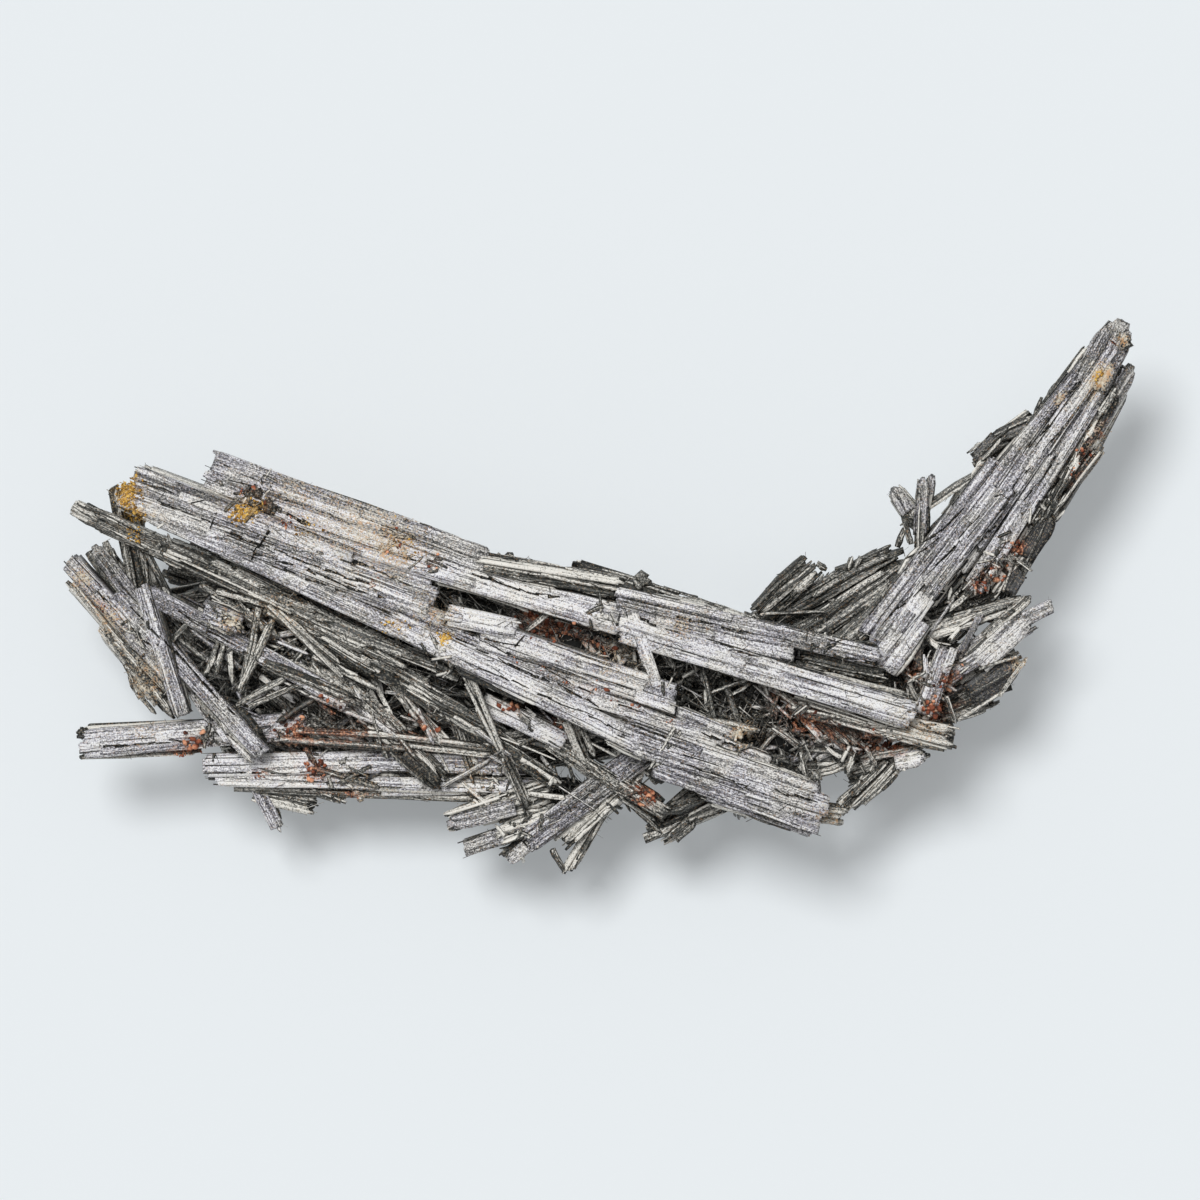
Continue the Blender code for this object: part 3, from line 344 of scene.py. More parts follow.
# Where short splinters and grains lie loose on the crystals, in plan: x, y, radius and strength.
DEBRIS = [
    (-25.5, 6.5, 2.6, 0.7), (-43, 12, 2.4, 1.4), (-11.5, 5.6, 1.6, 0.8), (0.5, -1.4, 2, 1),
    (17.8, -16.8, 1.8, 1), (-46, -2.2, 2, 1), (-20, -7, 2, 0.7), (50, 5, 2.6, 1), (46, 0.5, 2.4, 1),
    (42, -9, 2.4, 0.8), (42, -14, 2, 0.8), (-36, -16.5, 4, 1), (-30, -12, 3, 0.7), (-20.5, 4.6, 1.6, 0.8),
    (36, -18, 3, 0.8), (24, -15, 3.6, 0.8), (3.5, -25, 2.6, 0.6), (-10, -27.5, 4, 0.5),
    (-48, -17, 2.4, 0.7), (-55.5, 7.5, 2, 0.7), (-13, -22.5, 3, 0.6), (9, -10.5, 2, 0.7), (55, 12, 2, 0.6),
    (-57.5, -5, 2.4, 0.5), (-34, -24.8, 3, 0.7), (27, -4, 3, 0.5), (33, -21, 2, 0.8),
]

# Larger broken knobs: place, width and tone.
KNOBS = [
    ((-64.9, -16.9, 26.6), 1.6, 0.05), ((-64.8, -18.1, 26.4), 1.3, 0.08), ((65.8, 32.5, 33.9), 2, 0.12),
    ((5.3, 2.2, 33), 2.6, 0.45), ((-11.2, 5, 34.4), 2, 0.12), ((-9.8, 4.7, 34.4), 1.5, 0.1),
    ((-42.6, 13.2, 36.4), 1.9, 0.03), ((-41.4, 12, 36.4), 1.8, 0.02), ((-40.6, 11.2, 36.2), 1.5, 0.05),
    ((-43.8, 13.9, 36), 1.4, 0.05), ((-47.4, 14.6, 35.6), 1.3, 0.15), ((-25.6, 6.8, 36), 1.2, 0.15),
    ((-30, -24.3, 22.6), 1.8, 0.5), ((28, 4.2, 27.6), 1.2, 0.2), ((64.6, 33, 34), 1, 0.5),
    ((0.6, -1.2, 36.2), 1.2, 0.3), ((17.6, -16.6, 35), 1.2, 0.9), ((-53, -7, 28), 1.4, 0.4),
]

# Grooves, gaps and cracks that can be followed on the crystals, their shade painted near black: width, then
# places in plan.
GROOVES = [
    (0.35, (-54.5, 12), (-50.5, 10.5), (-47.5, 9.2)), (0.4, (-52.6, 12.6), (-50.8, 12.1), (-49.2, 12.4)),
    (0.6, (-43, 5.8), (-36.5, 3.9), (-30.2, 1.1), (-24, -0.6)),
    (0.45, (-43, 5), (-38, 3.2), (-33, 1.3), (-26.5, -1.4)), (0.4, (-46, 8.2), (-38, 5.2), (-29, 1.9)),
    (0.5, (-32, 5.1), (-28, 3.8), (-23.6, 1.8)), (0.35, (-41.6, 8.5), (-42.6, 7), (-43.6, 5.2)),
    (0.3, (-48, 10.8), (-48.5, 9.2)), (0.9, (-38.6, 10.6), (-37.2, 9.9), (-36, 9.5)),
    (0.3, (-57, 14.8), (-52, 13)), (0.3, (-46, 15), (-38, 12.2), (-31, 9.6)),
    (0.25, (-48, 17), (-41, 14.4)), (0.3, (-30, 7.4), (-22, 4.6)),
    (0.45, (-18, -5), (-14, -6.6), (-11.5, -8), (-8.5, -9.2), (-5, -10.8), (-2.5, -12), (2, -14.3),
     (4, -15.4), (8, -17.2)),
    (0.3, (-18.5, -3.5), (-16, -4.3), (-12.5, -6.1), (-7, -8.5), (0, -12), (5, -13.8)),
    (0.3, (-15, -8.3), (-10, -10.5), (-5, -12.8), (0, -15), (3, -16.6)),
    (0.3, (-17, -4.2), (-10.4, -5.6), (-8.9, -3.9)), (0.3, (4.2, -15.2), (4, -16.4)),
    (0.3, (-6.2, 1.5), (-6, 0.3)), (0.5, (-16, 3.2), (-9, 0.9), (-5, 0.4)),
    (0.7, (4.3, -2.4), (7, -3.1), (9.6, -3.8)), (0.4, (9.7, -2.2), (15, -3.4), (19, -4.3)),
    (0.3, (14, -5.4), (20, -7), (24, -7.7)), (0.5, (24.7, -6.1), (28, -6.8), (34.5, -8)),
    (0.6, (26, -7.4), (28.5, -8.7), (32, -9.6), (36, -10.1)),
    (0.45, (11, -15.8), (15, -17.5), (17.2, -18.3)), (0.25, (9.8, -17), (12, -17.7), (14.3, -19)),
    (0.35, (22, -23.8), (24.5, -24.5), (27, -25.3)), (0.3, (13, -21.6), (20, -24.3)),
    (0.3, (26, -26), (29, -26.8)), (1.3, (17.3, -26.2), (18.4, -26.6)), (0.3, (10, -20.3), (18, -23)),
    (0.3, (-13, -15.2), (-9, -17.4), (-5.2, -19.4)), (0.45, (62.4, 31), (60.8, 28.3), (58.8, 26)),
    (0.4, (56.9, 22.8), (55.2, 20.4)), (0.3, (54, 19.4), (52, 17.6)),
    (0.55, (65.2, 29), (64, 26.8), (62.5, 24.2), (61, 21.6), (58.5, 17.6), (56.5, 14.3), (54.3, 11.5)),
    (0.55, (50.8, 12.2), (50, 10.3), (48.5, 8.6), (47, 6.8), (45, 4), (43.5, 2), (41.5, -0.6)),
    (0.3, (50.9, 12.6), (50.2, 13.2), (49.4, 12.8)), (0.5, (45.3, 11.3), (41.8, 8), (38, 6)),
    (0.35, (43.3, 8.6), (41, 6.6), (37, 4.6)), (0.35, (40.3, 1.6), (38, -0.3), (35.5, -2.6)),
    (0.3, (48, 11.5), (44, 6.6), (41, 3.4)), (0.4, (50.6, 7), (47, 2.6), (45.6, 0.8)),
    (0.9, (48.2, 3.9), (46.3, 0.7)), (0.5, (57.6, 12.8), (59.6, 16.8), (62.2, 20.6)),
    (0.3, (52.5, 15), (55.5, 18.8), (58, 22)), (0.3, (57, 18), (53, 12.6)),
    (0.35, (-62, -18.4), (-50, -17.6)), (0.3, (-63, 1.2), (-56, -6.2)), (0.4, (-58.4, -1), (-46, -14.2)),
    (0.4, (-52.5, -1.6), (-42, -7.8)), (0.35, (-45, -21.6), (-30, -21.7)),
]

# Tones to choose from. Those of sticks and slivers multiply the tone of their blade.
STICK_TONES = (0.04, 0.3, 0.78, 1.06, 1.26, 1.5, 1.85)
SLIVER_TONES = (0.05, 0.2, 0.6, 1, 1.3, 1.6)
MIXED = (0, 0.08, 0.3, 0.6, 0.9, 1.15, 1.35)
DARKER = (0, 0.04, 0.12, 0.3, 0.6, 0.9, 1.3)
FELT_TONES = (0.03, 0.06, 0.15, 0.35, 0.7, 1, 1.5)
SPLINTER_TONES = (0.05, 0.1, 0.25, 0.5, 1, 1.6)
NEEDLE_TONES = (0, 0.1, 0.3, 1.2, 1.7, 2)
# Near-black tones of the needles laid in seams and grooves: painted shade in the gaps.
PAINTED_SEAM_SHADE, PAINTED_GROOVE_SHADE = 0.04, -0.4

# Sticks scattered in the hollows: count, reach along the cluster, heights, widths, half lengths,
# headings in degrees and tones.
SCATTERED = [
    (420, (-54, 8), (22, 30.5), (0.2, 0.9), (0.8, 4.5), (-30, -25, -40, -60, 35), MIXED),
    (330, (8, 42), (22, 31), (0.2, 1), (0.8, 3.6), (-60, 30, 75, -20, 110), MIXED),
    (220, (18, 58), (20, 29), (0.2, 0.9), (0.8, 3.6), (35, 45, 20, -20, 60), DARKER),
    (260, (-58, 46), (6, 24), (0.6, 1.6), (3, 9), (-25, -20, -10, -50, 40), MIXED),
]

TANGLE_COUNT = 38
TANGLE_LEVELS = (4.5, 29)
SURFACE_NEEDLES = 5200
SPLINTER_DENSITY = 8
SLAB_HEADING, HORN_HEADING = -22, 52
TOUCHING = 1.2  # sticks are held by what is this near to their ends
STICK_PITCH, COARSE_PITCH = 0.65, 0.9
NARROW = 1.3  # blades under this width are single sticks
SILKY = 0.83  # of the others, those of this tone or brighter are smooth slabs
GRAIN_SHIFT = 90  # how far a copy may be shifted across the noise, so that no two look alike
WANDER_TURN = np.array([[0.36, 0.48, -0.8], [-0.8, 0.6, 0], [0.48, 0.64, 0.6]])

# Originals run along X and are 1 across. Their shafts reach to 3 on each side, their ends to
# about 4, and only the shafts are stretched.
SHAFT = 3
STRIP_CUTS = (-0.3, -0.08, 0.14, 0.34)
SLAB_CUTS = (-3, -2.2, -1.4, -0.6, 0.3, 1.1, 2, 3)

# The teeth that each lath's ends are split into: which end, which third of its width, and reach.
LATHS = [
    [(1, -1, 0.7), (1, 0, 0.25), (-1, 1, 0.7), (-1, -1, 0.3)],
    [(1, 0, 0.7), (-1, 0, 0.4), (-1, -1, 0.7)],
    [(1, 1, 0.7), (1, 0, 0.5), (-1, 0, 0.7)],
    [(1, -1, 0.2), (1, 1, 0.7), (-1, 1, 0.7), (-1, 0, 0.35)],
]
# Each slab's broken ends (which end, from and to across it, and reach), and the steps in its top
# (from and to across it, and lift).
SLABS = [
    (
        [(1, -0.6, -0.1, 0.14), (1, -0.1, 0.2, 0.08), (-1, -0.6, -0.3, 0.06), (-1, -0.3, 0.6, 0.12)],
        [(-0.1, 0.1, -0.02), (0.1, 0.3, 0.02)],
    ),
    (
        [(1, -0.4, 0.3, 0.12), (1, 0.3, 0.6, 0.06), (-1, -0.1, 0.4, 0.15), (-1, -0.6, -0.1, 0.08)],
        [(-0.3, -0.1, -0.03), (0.1, 0.5, 0.015)],
    ),
    (
        [(1, 0.1, 0.6, 0.15), (1, -0.3, 0.1, 0.1), (-1, -0.6, 0.1, 0.1)],
        [(-0.1, 0.1, 0.02), (0.1, 0.3, -0.03)],
    ),
    (
        [(1, -0.6, 0.1, 0.06), (1, 0.1, 0.3, 0.13), (-1, -0.4, 0.2, 0.08), (-1, 0.2, 0.6, 0.14)],
        [(-0.5, -0.3, 0.02), (-0.1, 0.3, -0.015)],
    ),
]
ROUND_TIP = (
    [(1, -0.4, 0.4, 0.3), (1, -0.25, 0.25, 0.22)],
    [(-0.1, 0.1, -0.02), (0.1, 0.3, 0.02)],
)
# Sides and width of the tip of each stick; sides and widths of the foot and tip of each needle.
STICK_SHAPES = [(4, 0.7), (5, 0.4), (4, 0.9), (6, 0.3), (4, 0.6)]
NEEDLE_SHAPES = [(4, 0.6, 0.2), (3, 0.8, 0.5), (4, 0.3, 0.3)]
CRUMB_COUNT = 4

# Colours from dark to bright, each with its place on the scale.
SILVER = [
    (0, (0.006, 0.006, 0.008)),
    (0.25, (0.046, 0.046, 0.052)),
    (0.5, (0.209, 0.204, 0.23)),
    (0.75, (0.535, 0.529, 0.579)),
    (1, (0.862, 0.865, 0.877)),
]
DULL = [
    (0, (0.005, 0.006, 0.005)),
    (0.25, (0.044, 0.047, 0.042)),
    (0.5, (0.21, 0.208, 0.193)),
    (0.75, (0.52, 0.505, 0.46)),
    (1, (0.85, 0.83, 0.77)),
]
RUSTY = [(0.34, (0.04, 0.014, 0.008)), (0.48, (0.2, 0.058, 0.026)), (0.64, (0.7, 0.33, 0.18))]
CREAMY = [(0.4, (0.6, 0.36, 0.18)), (0.5, (0.6, 0.51, 0.38)), (0.6, (0.74, 0.68, 0.56))]
YELLOW = [(0.3, (0.12, 0.07, 0.02)), (0.5, (0.5, 0.28, 0.06)), (0.7, (0.8, 0.56, 0.2))]
MATTED = [(0.35, (0.004, 0.004, 0.003)), (0.6, (0.02, 0.016, 0.012)), (0.75, (0.07, 0.02, 0.01))]
OXIDE = [(0.26, (0.05, 0.016, 0.01)), (0.46, (0.34, 0.095, 0.045)), (0.62, (0.84, 0.42, 0.25))]
FLECKS = [(0.3, (0.2, 0.14, 0.08)), (0.5, (0.55, 0.43, 0.3)), (0.7, (0.8, 0.72, 0.6))]
CRUST = [(0.3, (0.2, 0.1, 0.02)), (0.45, (0.6, 0.33, 0.06)), (0.7, (0.85, 0.58, 0.16))]

SPLIT = {"brightness": 0.79, "contrast": 0.37, "rough": 0.5, "soak": 1.1}
FELTED = {"brightness": 0.7, "contrast": 0.3, "rough": 0.6, "soak": 0.22}

# The grains of each stain: name, colours, spots, how densely they lie, their sizes, and the
# height above which the larger spots have few.
STAIN_GRAINS = [
    ("iron_oxide", OXIDE, RUST, 20, (0.2, 1.15), 27.6),
    ("cream_flecks", FLECKS, CREAM, 26, (0.1, 0.34), 99),
    ("ochre_crust", CRUST, OCHRE, 110, (0.14, 0.55), 99),
]

PAPER = (0.615, 0.646, 0.665, 1)
GLOW = (0.807, 0.847, 0.871, 1)
FILL = 0.22
# Each sun's strength, the angle it fills in radians, and where it stands.
SUNS = {"soft_key": (2.2, 0.3, (-2, 2.8, 10)), "soft_top": (0.35, 0.9, (-0.8, 1.2, 10))}
FRAME_WIDTH, CAMERA_HEIGHT, SHOW_LEVEL = 0.150, 1.5, 0.027
SENSOR = 36

chance = random.Random(SEED)


# Originals


def open_shape(add, **settings):
    """Adds a plain shape and opens it for editing by its faces."""
    bpy.ops.object.select_all(action="DESELECT")
    add(**settings)
    bpy.ops.object.transform_apply(location=False, rotation=True, scale=False)
    bpy.ops.object.mode_set(mode="EDIT")
    bpy.ops.mesh.select_mode(type="FACE")
    return bpy.context.object


def choose_faces(made, test):
    """Selects the faces whose centre and normal pass the test."""
    sheet = bmesh.from_edit_mesh(made.data)
    for face in sheet.faces:
        face.select_set(False)
    for face in sheet.faces:
        if test(face.calc_center_median(), face.normal):
            face.select_set(True)
    bmesh.update_edit_mesh(made.data)


def choose_all():
    bpy.ops.mesh.select_all(action="SELECT")


def cut_across(axis, places):
    """Cuts the whole shape square to an axis, 0 for X to 2 for Z."""
    way = [float(i == axis) for i in range(3)]
    for place in places:
        choose_all()
        bpy.ops.mesh.bisect(plane_co=[place * along for along in way], plane_no=way)


def resize(value, centre=(0, 0, 0)):
    bpy.ops.transform.resize(value=value, center_override=centre)


def push_out(along):
    """Pushes the chosen faces out as a new tooth along X."""
    bpy.ops.mesh.extrude_region_move(TRANSFORM_OT_translate={"value": (along, 0, 0)})


def shake(offset, seed):
    bpy.ops.transform.vertex_random(offset=offset, uniform=0, normal=0, seed=seed)


def take_down(made):
    """A modelled shape as arrays: points, corners of its faces, and how many corners each has."""
    bpy.ops.object.mode_set(mode="OBJECT")
    mesh = made.data
    points = np.array([vertex.co for vertex in mesh.vertices])
    # Cuts leave the faces in a chance order, so they are sorted to be the same each run.
    faces = sorted(list(face.vertices) for face in mesh.polygons)
    bpy.data.objects.remove(made, do_unlink=True)
    bpy.data.meshes.remove(mesh)
    return points, np.concatenate(faces), np.array([len(face) for face in faces])


def split_lath(seed, teeth):
    """A lath whose ends are split in teeth of differing reach."""
    lath = open_shape(bpy.ops.mesh.primitive_cube_add, size=1)
    resize((6.6, 1, 1))
    cut_across(1, (-1 / 6, 1 / 6))
    cut_across(0, (-SHAFT, 0, SHAFT))
    for end, third, reach in teeth:
        choose_faces(lath, lambda c, n: n.x * end > 0.9 and abs(c.y - third / 3) < 0.1)
        push_out(end * reach)
        resize((1, 0.6, 0.7), (0, third / 3, -0.1))
    choose_faces(lath, lambda c, n: n.z < -0.9)
    resize((1, 0.8, 1))
    choose_all()
    shake(0.075, seed)
    return take_down(lath)


def prism_slab(seed, teeth, steps, taper=1, long=7.4):
    """A broad prism: a flat top in five strips, sloping sides and broken ends."""
    slab = open_shape(bpy.ops.mesh.primitive_cube_add, size=1)
    resize((long, 1, 1))
    cut_across(1, STRIP_CUTS)
    cut_across(2, (0.3,))
    cut_across(0, SLAB_CUTS)
    choose_faces(slab, lambda c, n: n.x > 0.9)
    resize((1, taper, 1))
    for end, low, high, reach in teeth:
        choose_faces(slab, lambda c, n: n.x * end > 0.9 and low < c.y < high)
        push_out(end * reach)
        resize((1, 0.8, 0.75), (0, (low + high) / 2, -0.1))
    choose_faces(slab, lambda c, n: n.z > 0.9)
    resize((1, 0.93, 1))
    for low, high, lift in steps:
        choose_faces(slab, lambda c, n: n.z > 0.7 and low < c.y < high)
        bpy.ops.transform.translate(value=(0, 0, lift))
    choose_faces(slab, lambda c, n: n.z < -0.9)
    resize((1, 0.78, 1))
    choose_all()
    shake(0.016, seed)
    choose_faces(slab, lambda c, n: abs(c.x) > SHAFT + 0.05)
    shake(0.035, seed + 1)
    return take_down(slab)


def open_rod(sides):
    """A thin prism from -4 to 4 along X."""
    turned = (0, math.pi / 2, 0)
    return open_shape(
        bpy.ops.mesh.primitive_cylinder_add, vertices=sides, radius=0.5, depth=8, rotation=turned
    )


def shape_ends(rod, tip, foot_width, foot_height):
    """Narrows the two end faces of a rod."""
    choose_faces(rod, lambda c, n: n.x > 0.9)
    resize((1, tip, tip), (4, 0, 0))
    choose_faces(rod, lambda c, n: n.x < -0.9)
    resize((1, foot_width, foot_height), (-4, 0, 0))


def broken_stick(seed, sides, tip):
    """A thin prism, uneven along its length, which narrows to its tip."""
    stick = open_rod(sides)
    cut_across(0, (-SHAFT, 0.4, SHAFT))
    shape_ends(stick, tip, 0.8, 0.9)
    choose_all()
    shake(0.09, seed)
    return take_down(stick)


def fine_needle(sides, foot, tip):
    """The finest splinter, drawn out at both ends."""
    needle = open_rod(sides)
    shape_ends(needle, tip, foot, foot)
    return take_down(needle)


def crumb(seed):
    """One grain, drawn out to the length of the other originals."""
    grain = open_shape(bpy.ops.mesh.primitive_ico_sphere_add, subdivisions=1, radius=0.5)
    choose_all()
    shake(0.14, seed)
    resize((8, 1, 1))
    return take_down(grain)


def model_originals():
    """The shapes of each kind, ready to be copied."""
    return {
        "lath": [split_lath(1 + i, teeth) for i, teeth in enumerate(LATHS)],
        "slab": [prism_slab(5 + i, *shape) for i, shape in enumerate(SLABS)],
        "tip": [prism_slab(31, *ROUND_TIP, taper=0.86, long=6.6)],
        "stick": [broken_stick(11 + i, *shape) for i, shape in enumerate(STICK_SHAPES)],
        "needle": [fine_needle(*shape) for shape in NEEDLE_SHAPES],
        "crumb": [crumb(21 + i) for i in range(CRUMB_COUNT)],
    }


# Copies


class Stock:
    """The copies that one piece is made of, by kind of original."""

    def __init__(self):
        self.rows = {kind: [] for kind in ("slab", "tip", "lath", "stick", "needle", "crumb")}

    def lay(self, kind, foot, tip, up, width, depth, tone, along=0, silk=0, bow=0, across=None):
        """Adds a copy. Along and across place it in the grain, and bow is how much it may bend."""
        if across is None:
            across = chance.uniform(0, GRAIN_SHIFT)
        bend = chance.gauss(0, bow) if bow else 0
        row = (*foot, *tip, *up, width, depth, tone, along, across, bend, silk)
        self.rows[kind].append(row)


def unit(vectors):
    return vectors / np.maximum(np.linalg.norm(vectors, axis=-1, keepdims=True), 1e-9)


def wander(spots):
    """A slow irregular shift, so that no edge is quite straight."""
    shift = np.zeros_like(spots)
    for reach, size in ((0.9, 0.06), (1.9, 0.05), (4.1, 0.035)):
        turned = spots @ WANDER_TURN * reach
        shift += size * np.sin(turned[..., [1, 2, 0]] + 1.7 * np.sin(turned[..., [2, 0, 1]] * 0.6))
    return shift


def stretched_copies(points, rows):
    """Copies of an original laid from foot to tip, stretched in the shaft and not in the ends."""
    foot, tip, up = rows[:, 0:3], rows[:, 3:6], rows[:, 6:9]
    width, depth, tone, along, across, bend, silk = (rows[:, i : i + 1] for i in range(9, 16))
    half = np.linalg.norm(tip - foot, axis=1, keepdims=True) / 2
    axis = unit(tip - foot)
    side = unit(np.cross(up, axis))
    up = np.cross(axis, side)
    # Zone is how long one unit of an end becomes, whatever the length of the copy.
    zone = np.minimum(1.1 * width, 0.6 * half)
    x, y, z = points.T
    shaft = x / SHAFT * (half - zone)
    ends = np.sign(x) * (half - zone + (np.abs(x) - SHAFT) * zone)
    reach = np.where(np.abs(x) <= SHAFT, shaft, ends)
    y, z = y * width, z * depth
    bow = bend * (1 - np.minimum((reach / half) ** 2, 1))
    spots = ((foot + tip) / 2)[:, None]
    for way, share in ((axis, reach), (side, y), (up, z + bow)):
        spots = spots + way[:, None] * share[..., None]
    grain = np.stack([reach + along, y + across, z + across], axis=-1)
    spots += wander(spots) * (1 - 0.72 * silk[..., None])
    spots[..., 2] = np.maximum(spots[..., 2], 0)
    # The last value paints shade on the lower part of every copy, darkest at its underside.
    values = {"tone": tone, "silk": silk, "painted_shade_below": np.clip(0.5 - points[:, 2], 0, 1)}
    values = {name: (value * np.ones_like(reach)).ravel() for name, value in values.items()}
    return {"place": spots.reshape(-1, 3), "grain": grain.reshape(-1, 3), **values}


def copy_all(stock, originals, picker):
    """All the copies of a stock as arrays: places, values, corners and corners of each face."""
    parts, start = [], 0
    for kind, rows in stock.rows.items():
        rows = np.array(rows, float).reshape(-1, 16)
        pick = picker.integers(0, len(originals[kind]), len(rows))
        for i, (points, corners, totals) in enumerate(originals[kind]):
            chosen = rows[pick == i]
            if not len(chosen):
                continue
            part = stretched_copies(points, chosen)
            shift = start + np.arange(len(chosen))[:, None] * len(points)
            part["corners"] = (corners + shift).ravel()
            part["totals"] = np.tile(totals, len(chosen))
            parts.append(part)
            start += len(part["place"])
    return {name: np.concatenate([part[name] for part in parts]) for name in parts[0]}


def join_up(name, places, corners, totals):
    """A new mesh object from points in millimetres, the corners of its faces, and their numbers."""
    mesh = bpy.data.meshes.new(name)
    mesh.vertices.add(len(places))
    mesh.vertices.foreach_set("co", (places * MM).ravel())
    mesh.loops.add(len(corners))
    mesh.loops.foreach_set("vertex_index", corners)
    mesh.polygons.add(len(totals))
    mesh.polygons.foreach_set("loop_start", np.concatenate([[0], np.cumsum(totals)[:-1]]))
    mesh.update(calc_edges=True)
    made = bpy.data.objects.new(name, mesh)
    bpy.context.scene.collection.objects.link(made)
    return made


def add_values(mesh, name, values, kind="FLOAT"):
    layer = mesh.attributes.new(name, kind, "POINT")
    field = "vector" if kind == "FLOAT_VECTOR" else "value"
    layer.data.foreach_set(field, values.astype(np.float32).ravel())


def stain_at(spots, places):
    """How strongly a stain shows at each place, from its distance in plan to the spots."""
    total = np.zeros(len(places))
    for x, y, radius, strength in spots:
        away = ((places[:, 0] - x) ** 2 + (places[:, 1] - y) ** 2) / radius**2
        total += strength * np.exp(-away)
    return np.clip(total, 0, 1)


def put_in_part(piece, material):
    piece.data.materials.append(material)
    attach(piece, "root")
    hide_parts("crystal_cluster")


def pile(name, material, stock, originals, seed):
    """One piece of all the copies in the stock, with the values that its finish reads."""
    whole = copy_all(stock, originals, np.random.default_rng(seed))
    places = whole["place"]
    made = join_up(name, places, whole["corners"], whole["totals"])
    add_values(made.data, "grain", whole["grain"], "FLOAT_VECTOR")
    for key in ("tone", "silk", "painted_shade_below"):
        add_values(made.data, key, whole[key])
    # Rust shows most in the hollows.
    sunken = np.clip((30 - places[:, 2]) / 4, 0.2, 1)
    for key, spots, share in (("rust", RUST, sunken), ("cream", CREAM, 1), ("ochre", OCHRE, 0.7)):
        add_values(made.data, key, stain_at(spots, places) * share)
    put_in_part(made, material)
    return made


# Blades


def placed(point):
    x, y, z = point
    return Vector((x, y, z * HEIGHT))


def pointing(heading, rise):
    return Vector((math.cos(heading), math.sin(heading), rise))


def random_way(rise=0, spread=1):
    """A direction at random, with the mean rise and the spread of the rise given."""
    return Vector((chance.gauss(0, 1), chance.gauss(0, 1), chance.gauss(rise, spread))).normalized()


class Bar(namedtuple("Bar", "foot tip middle length axis side up width depth tone")):
    """A blade in its place: its ends, the ways its length, width and depth run, size and tone."""

    def ends(self, base, start, stop, swing=Vector()):
        """Foot and tip of a copy that runs along the blade from start to stop, with a swing."""
        return base + self.axis * start - swing, base + self.axis * stop + swing


def set_out(foot, tip, width, depth, roll, tone):
    """A Bar from two places of the tables. The roll turns it about its length."""
    foot, tip = placed(foot), placed(tip)
    axis = (tip - foot).normalized()
    side = Matrix.Rotation(math.radians(roll), 3, axis) @ UP.cross(axis).normalized()
    up = axis.cross(side).normalized()
    return Bar(foot, tip, (foot + tip) / 2, (tip - foot).length, axis, side, up, width, depth, tone)


def stretches(start, end, shortest, longest):
    """Splits a run into stretches at random breaks."""
    spot = start
    while end - spot > 0.5:
        stop = spot + chance.uniform(shortest, longest)
        if end - stop < shortest:
            stop = end
        yield spot, stop
        spot = stop + chance.choice((0, 0.08, 0.2))


def uneven_widths(span, pitch):
    """Fills a width with sticks that differ in size: the middle and width of each."""
    place = -span / 2
    while place < span / 2 - 0.12:
        wide = min(pitch * chance.choice((0.4, 0.6, 0.8, 1.1, 1.5, 2.2)), span / 2 - place + 0.1)
        yield place + wide / 2, wide
        place += wide * chance.uniform(0.85, 1.05)


def stick_tone(tone):
    """Sticks in a bundle differ strongly: some are nearly black, some pale."""
    return (1.12 * tone + 0.04) * chance.choice(STICK_TONES) * chance.uniform(0.9, 1.1)


def lay_sticks(stock, bar, out, across, span, level, pitch):
    """Covers one long face of a blade with a row of uneven sticks."""
    half = bar.length / 2
    ragged, held = min(2.2, 0.12 * bar.length), 0
    if bar.tone >= SILKY:
        ragged, held = min(1, 0.06 * bar.length), 0.7
    for shift, size in uneven_widths(span, pitch):
        drop = 0.3 * min(level, 1.2) * (abs(shift) / (span / 2)) ** 3
        start = -half + ragged * chance.random() ** 2 + held
        end = half - ragged * chance.random() ** 2 - held
        shift += chance.gauss(0, 0.06 * pitch)
        for s, t in stretches(start, end, 3, 18):
            wide = size * chance.uniform(0.9, 1.15)
            thick = min(wide, 0.8)
            rise = level - thick * 0.42 - drop + chance.gauss(0, 0.23)
            base = bar.middle + across * shift + out * rise
            swing = (across * chance.gauss(0, 0.014) + out * chance.gauss(0, 0.01)) * (t - s)
            lean = out + across * chance.gauss(0, 0.35)
            kind = "lath" if wide > 0.55 and chance.random() < 0.7 else "stick"
            thick *= chance.uniform(0.8, 1.1)
            tone = stick_tone(bar.tone)
            ends = bar.ends(base, s, t, swing)
            stock.lay(kind, *ends, lean, wide, thick, tone, along=(s + t) / 2, bow=0.12)


def lay_slivers(stock, bar, out, across, span, level, count, silk=0):
    """Slivers on one face, most of them near its edges, a few split off at the tip."""
    half = bar.length / 2
    for _ in range(count):
        run = chance.uniform(1.5, 11) if chance.random() < 0.6 else chance.uniform(0.6, 3)
        s = chance.uniform(-half, half - min(run, half))
        t = min(s + run, half + 0.3)
        place = chance.choice((-1, 1)) * 0.49 * span * chance.random() ** 0.6
        size = chance.uniform(0.14, 0.5)
        rise = level + chance.uniform(-0.22, 0.05) - size * 0.2
        base = bar.middle + across * place + out * rise
        swing = (across * chance.gauss(0, 0.012) + out * chance.uniform(-0.004, 0.012)) * run
        kind = "needle" if size < 0.24 else "stick"
        tone = bar.tone * chance.choice(SLIVER_TONES)
        ends = bar.ends(base, s, t, swing)
        stock.lay(kind, *ends, out, size, size * 0.6, tone, along=s, silk=silk)


def lay_prisms(stock, bar, bright):
    """The prism itself, cracked across here and there."""
    half = bar.length / 2
    grain = chance.uniform(0, GRAIN_SHIFT)
    for s, t in stretches(-half, half, max(12, 0.45 * bar.length), max(20, 1.9 * bar.length)):
        shift = chance.gauss(0, 0.05)
        base = bar.middle + bar.side * shift + bar.up * chance.gauss(0, 0.05)
        tone = bright * chance.uniform(0.92, 1.06)
        size = (bar.width * 0.97, bar.depth)
        ends = bar.ends(base, s, t)
        stock.lay("slab", *ends, bar.up, *size, tone, along=(s + t) / 2, silk=1, across=grain)


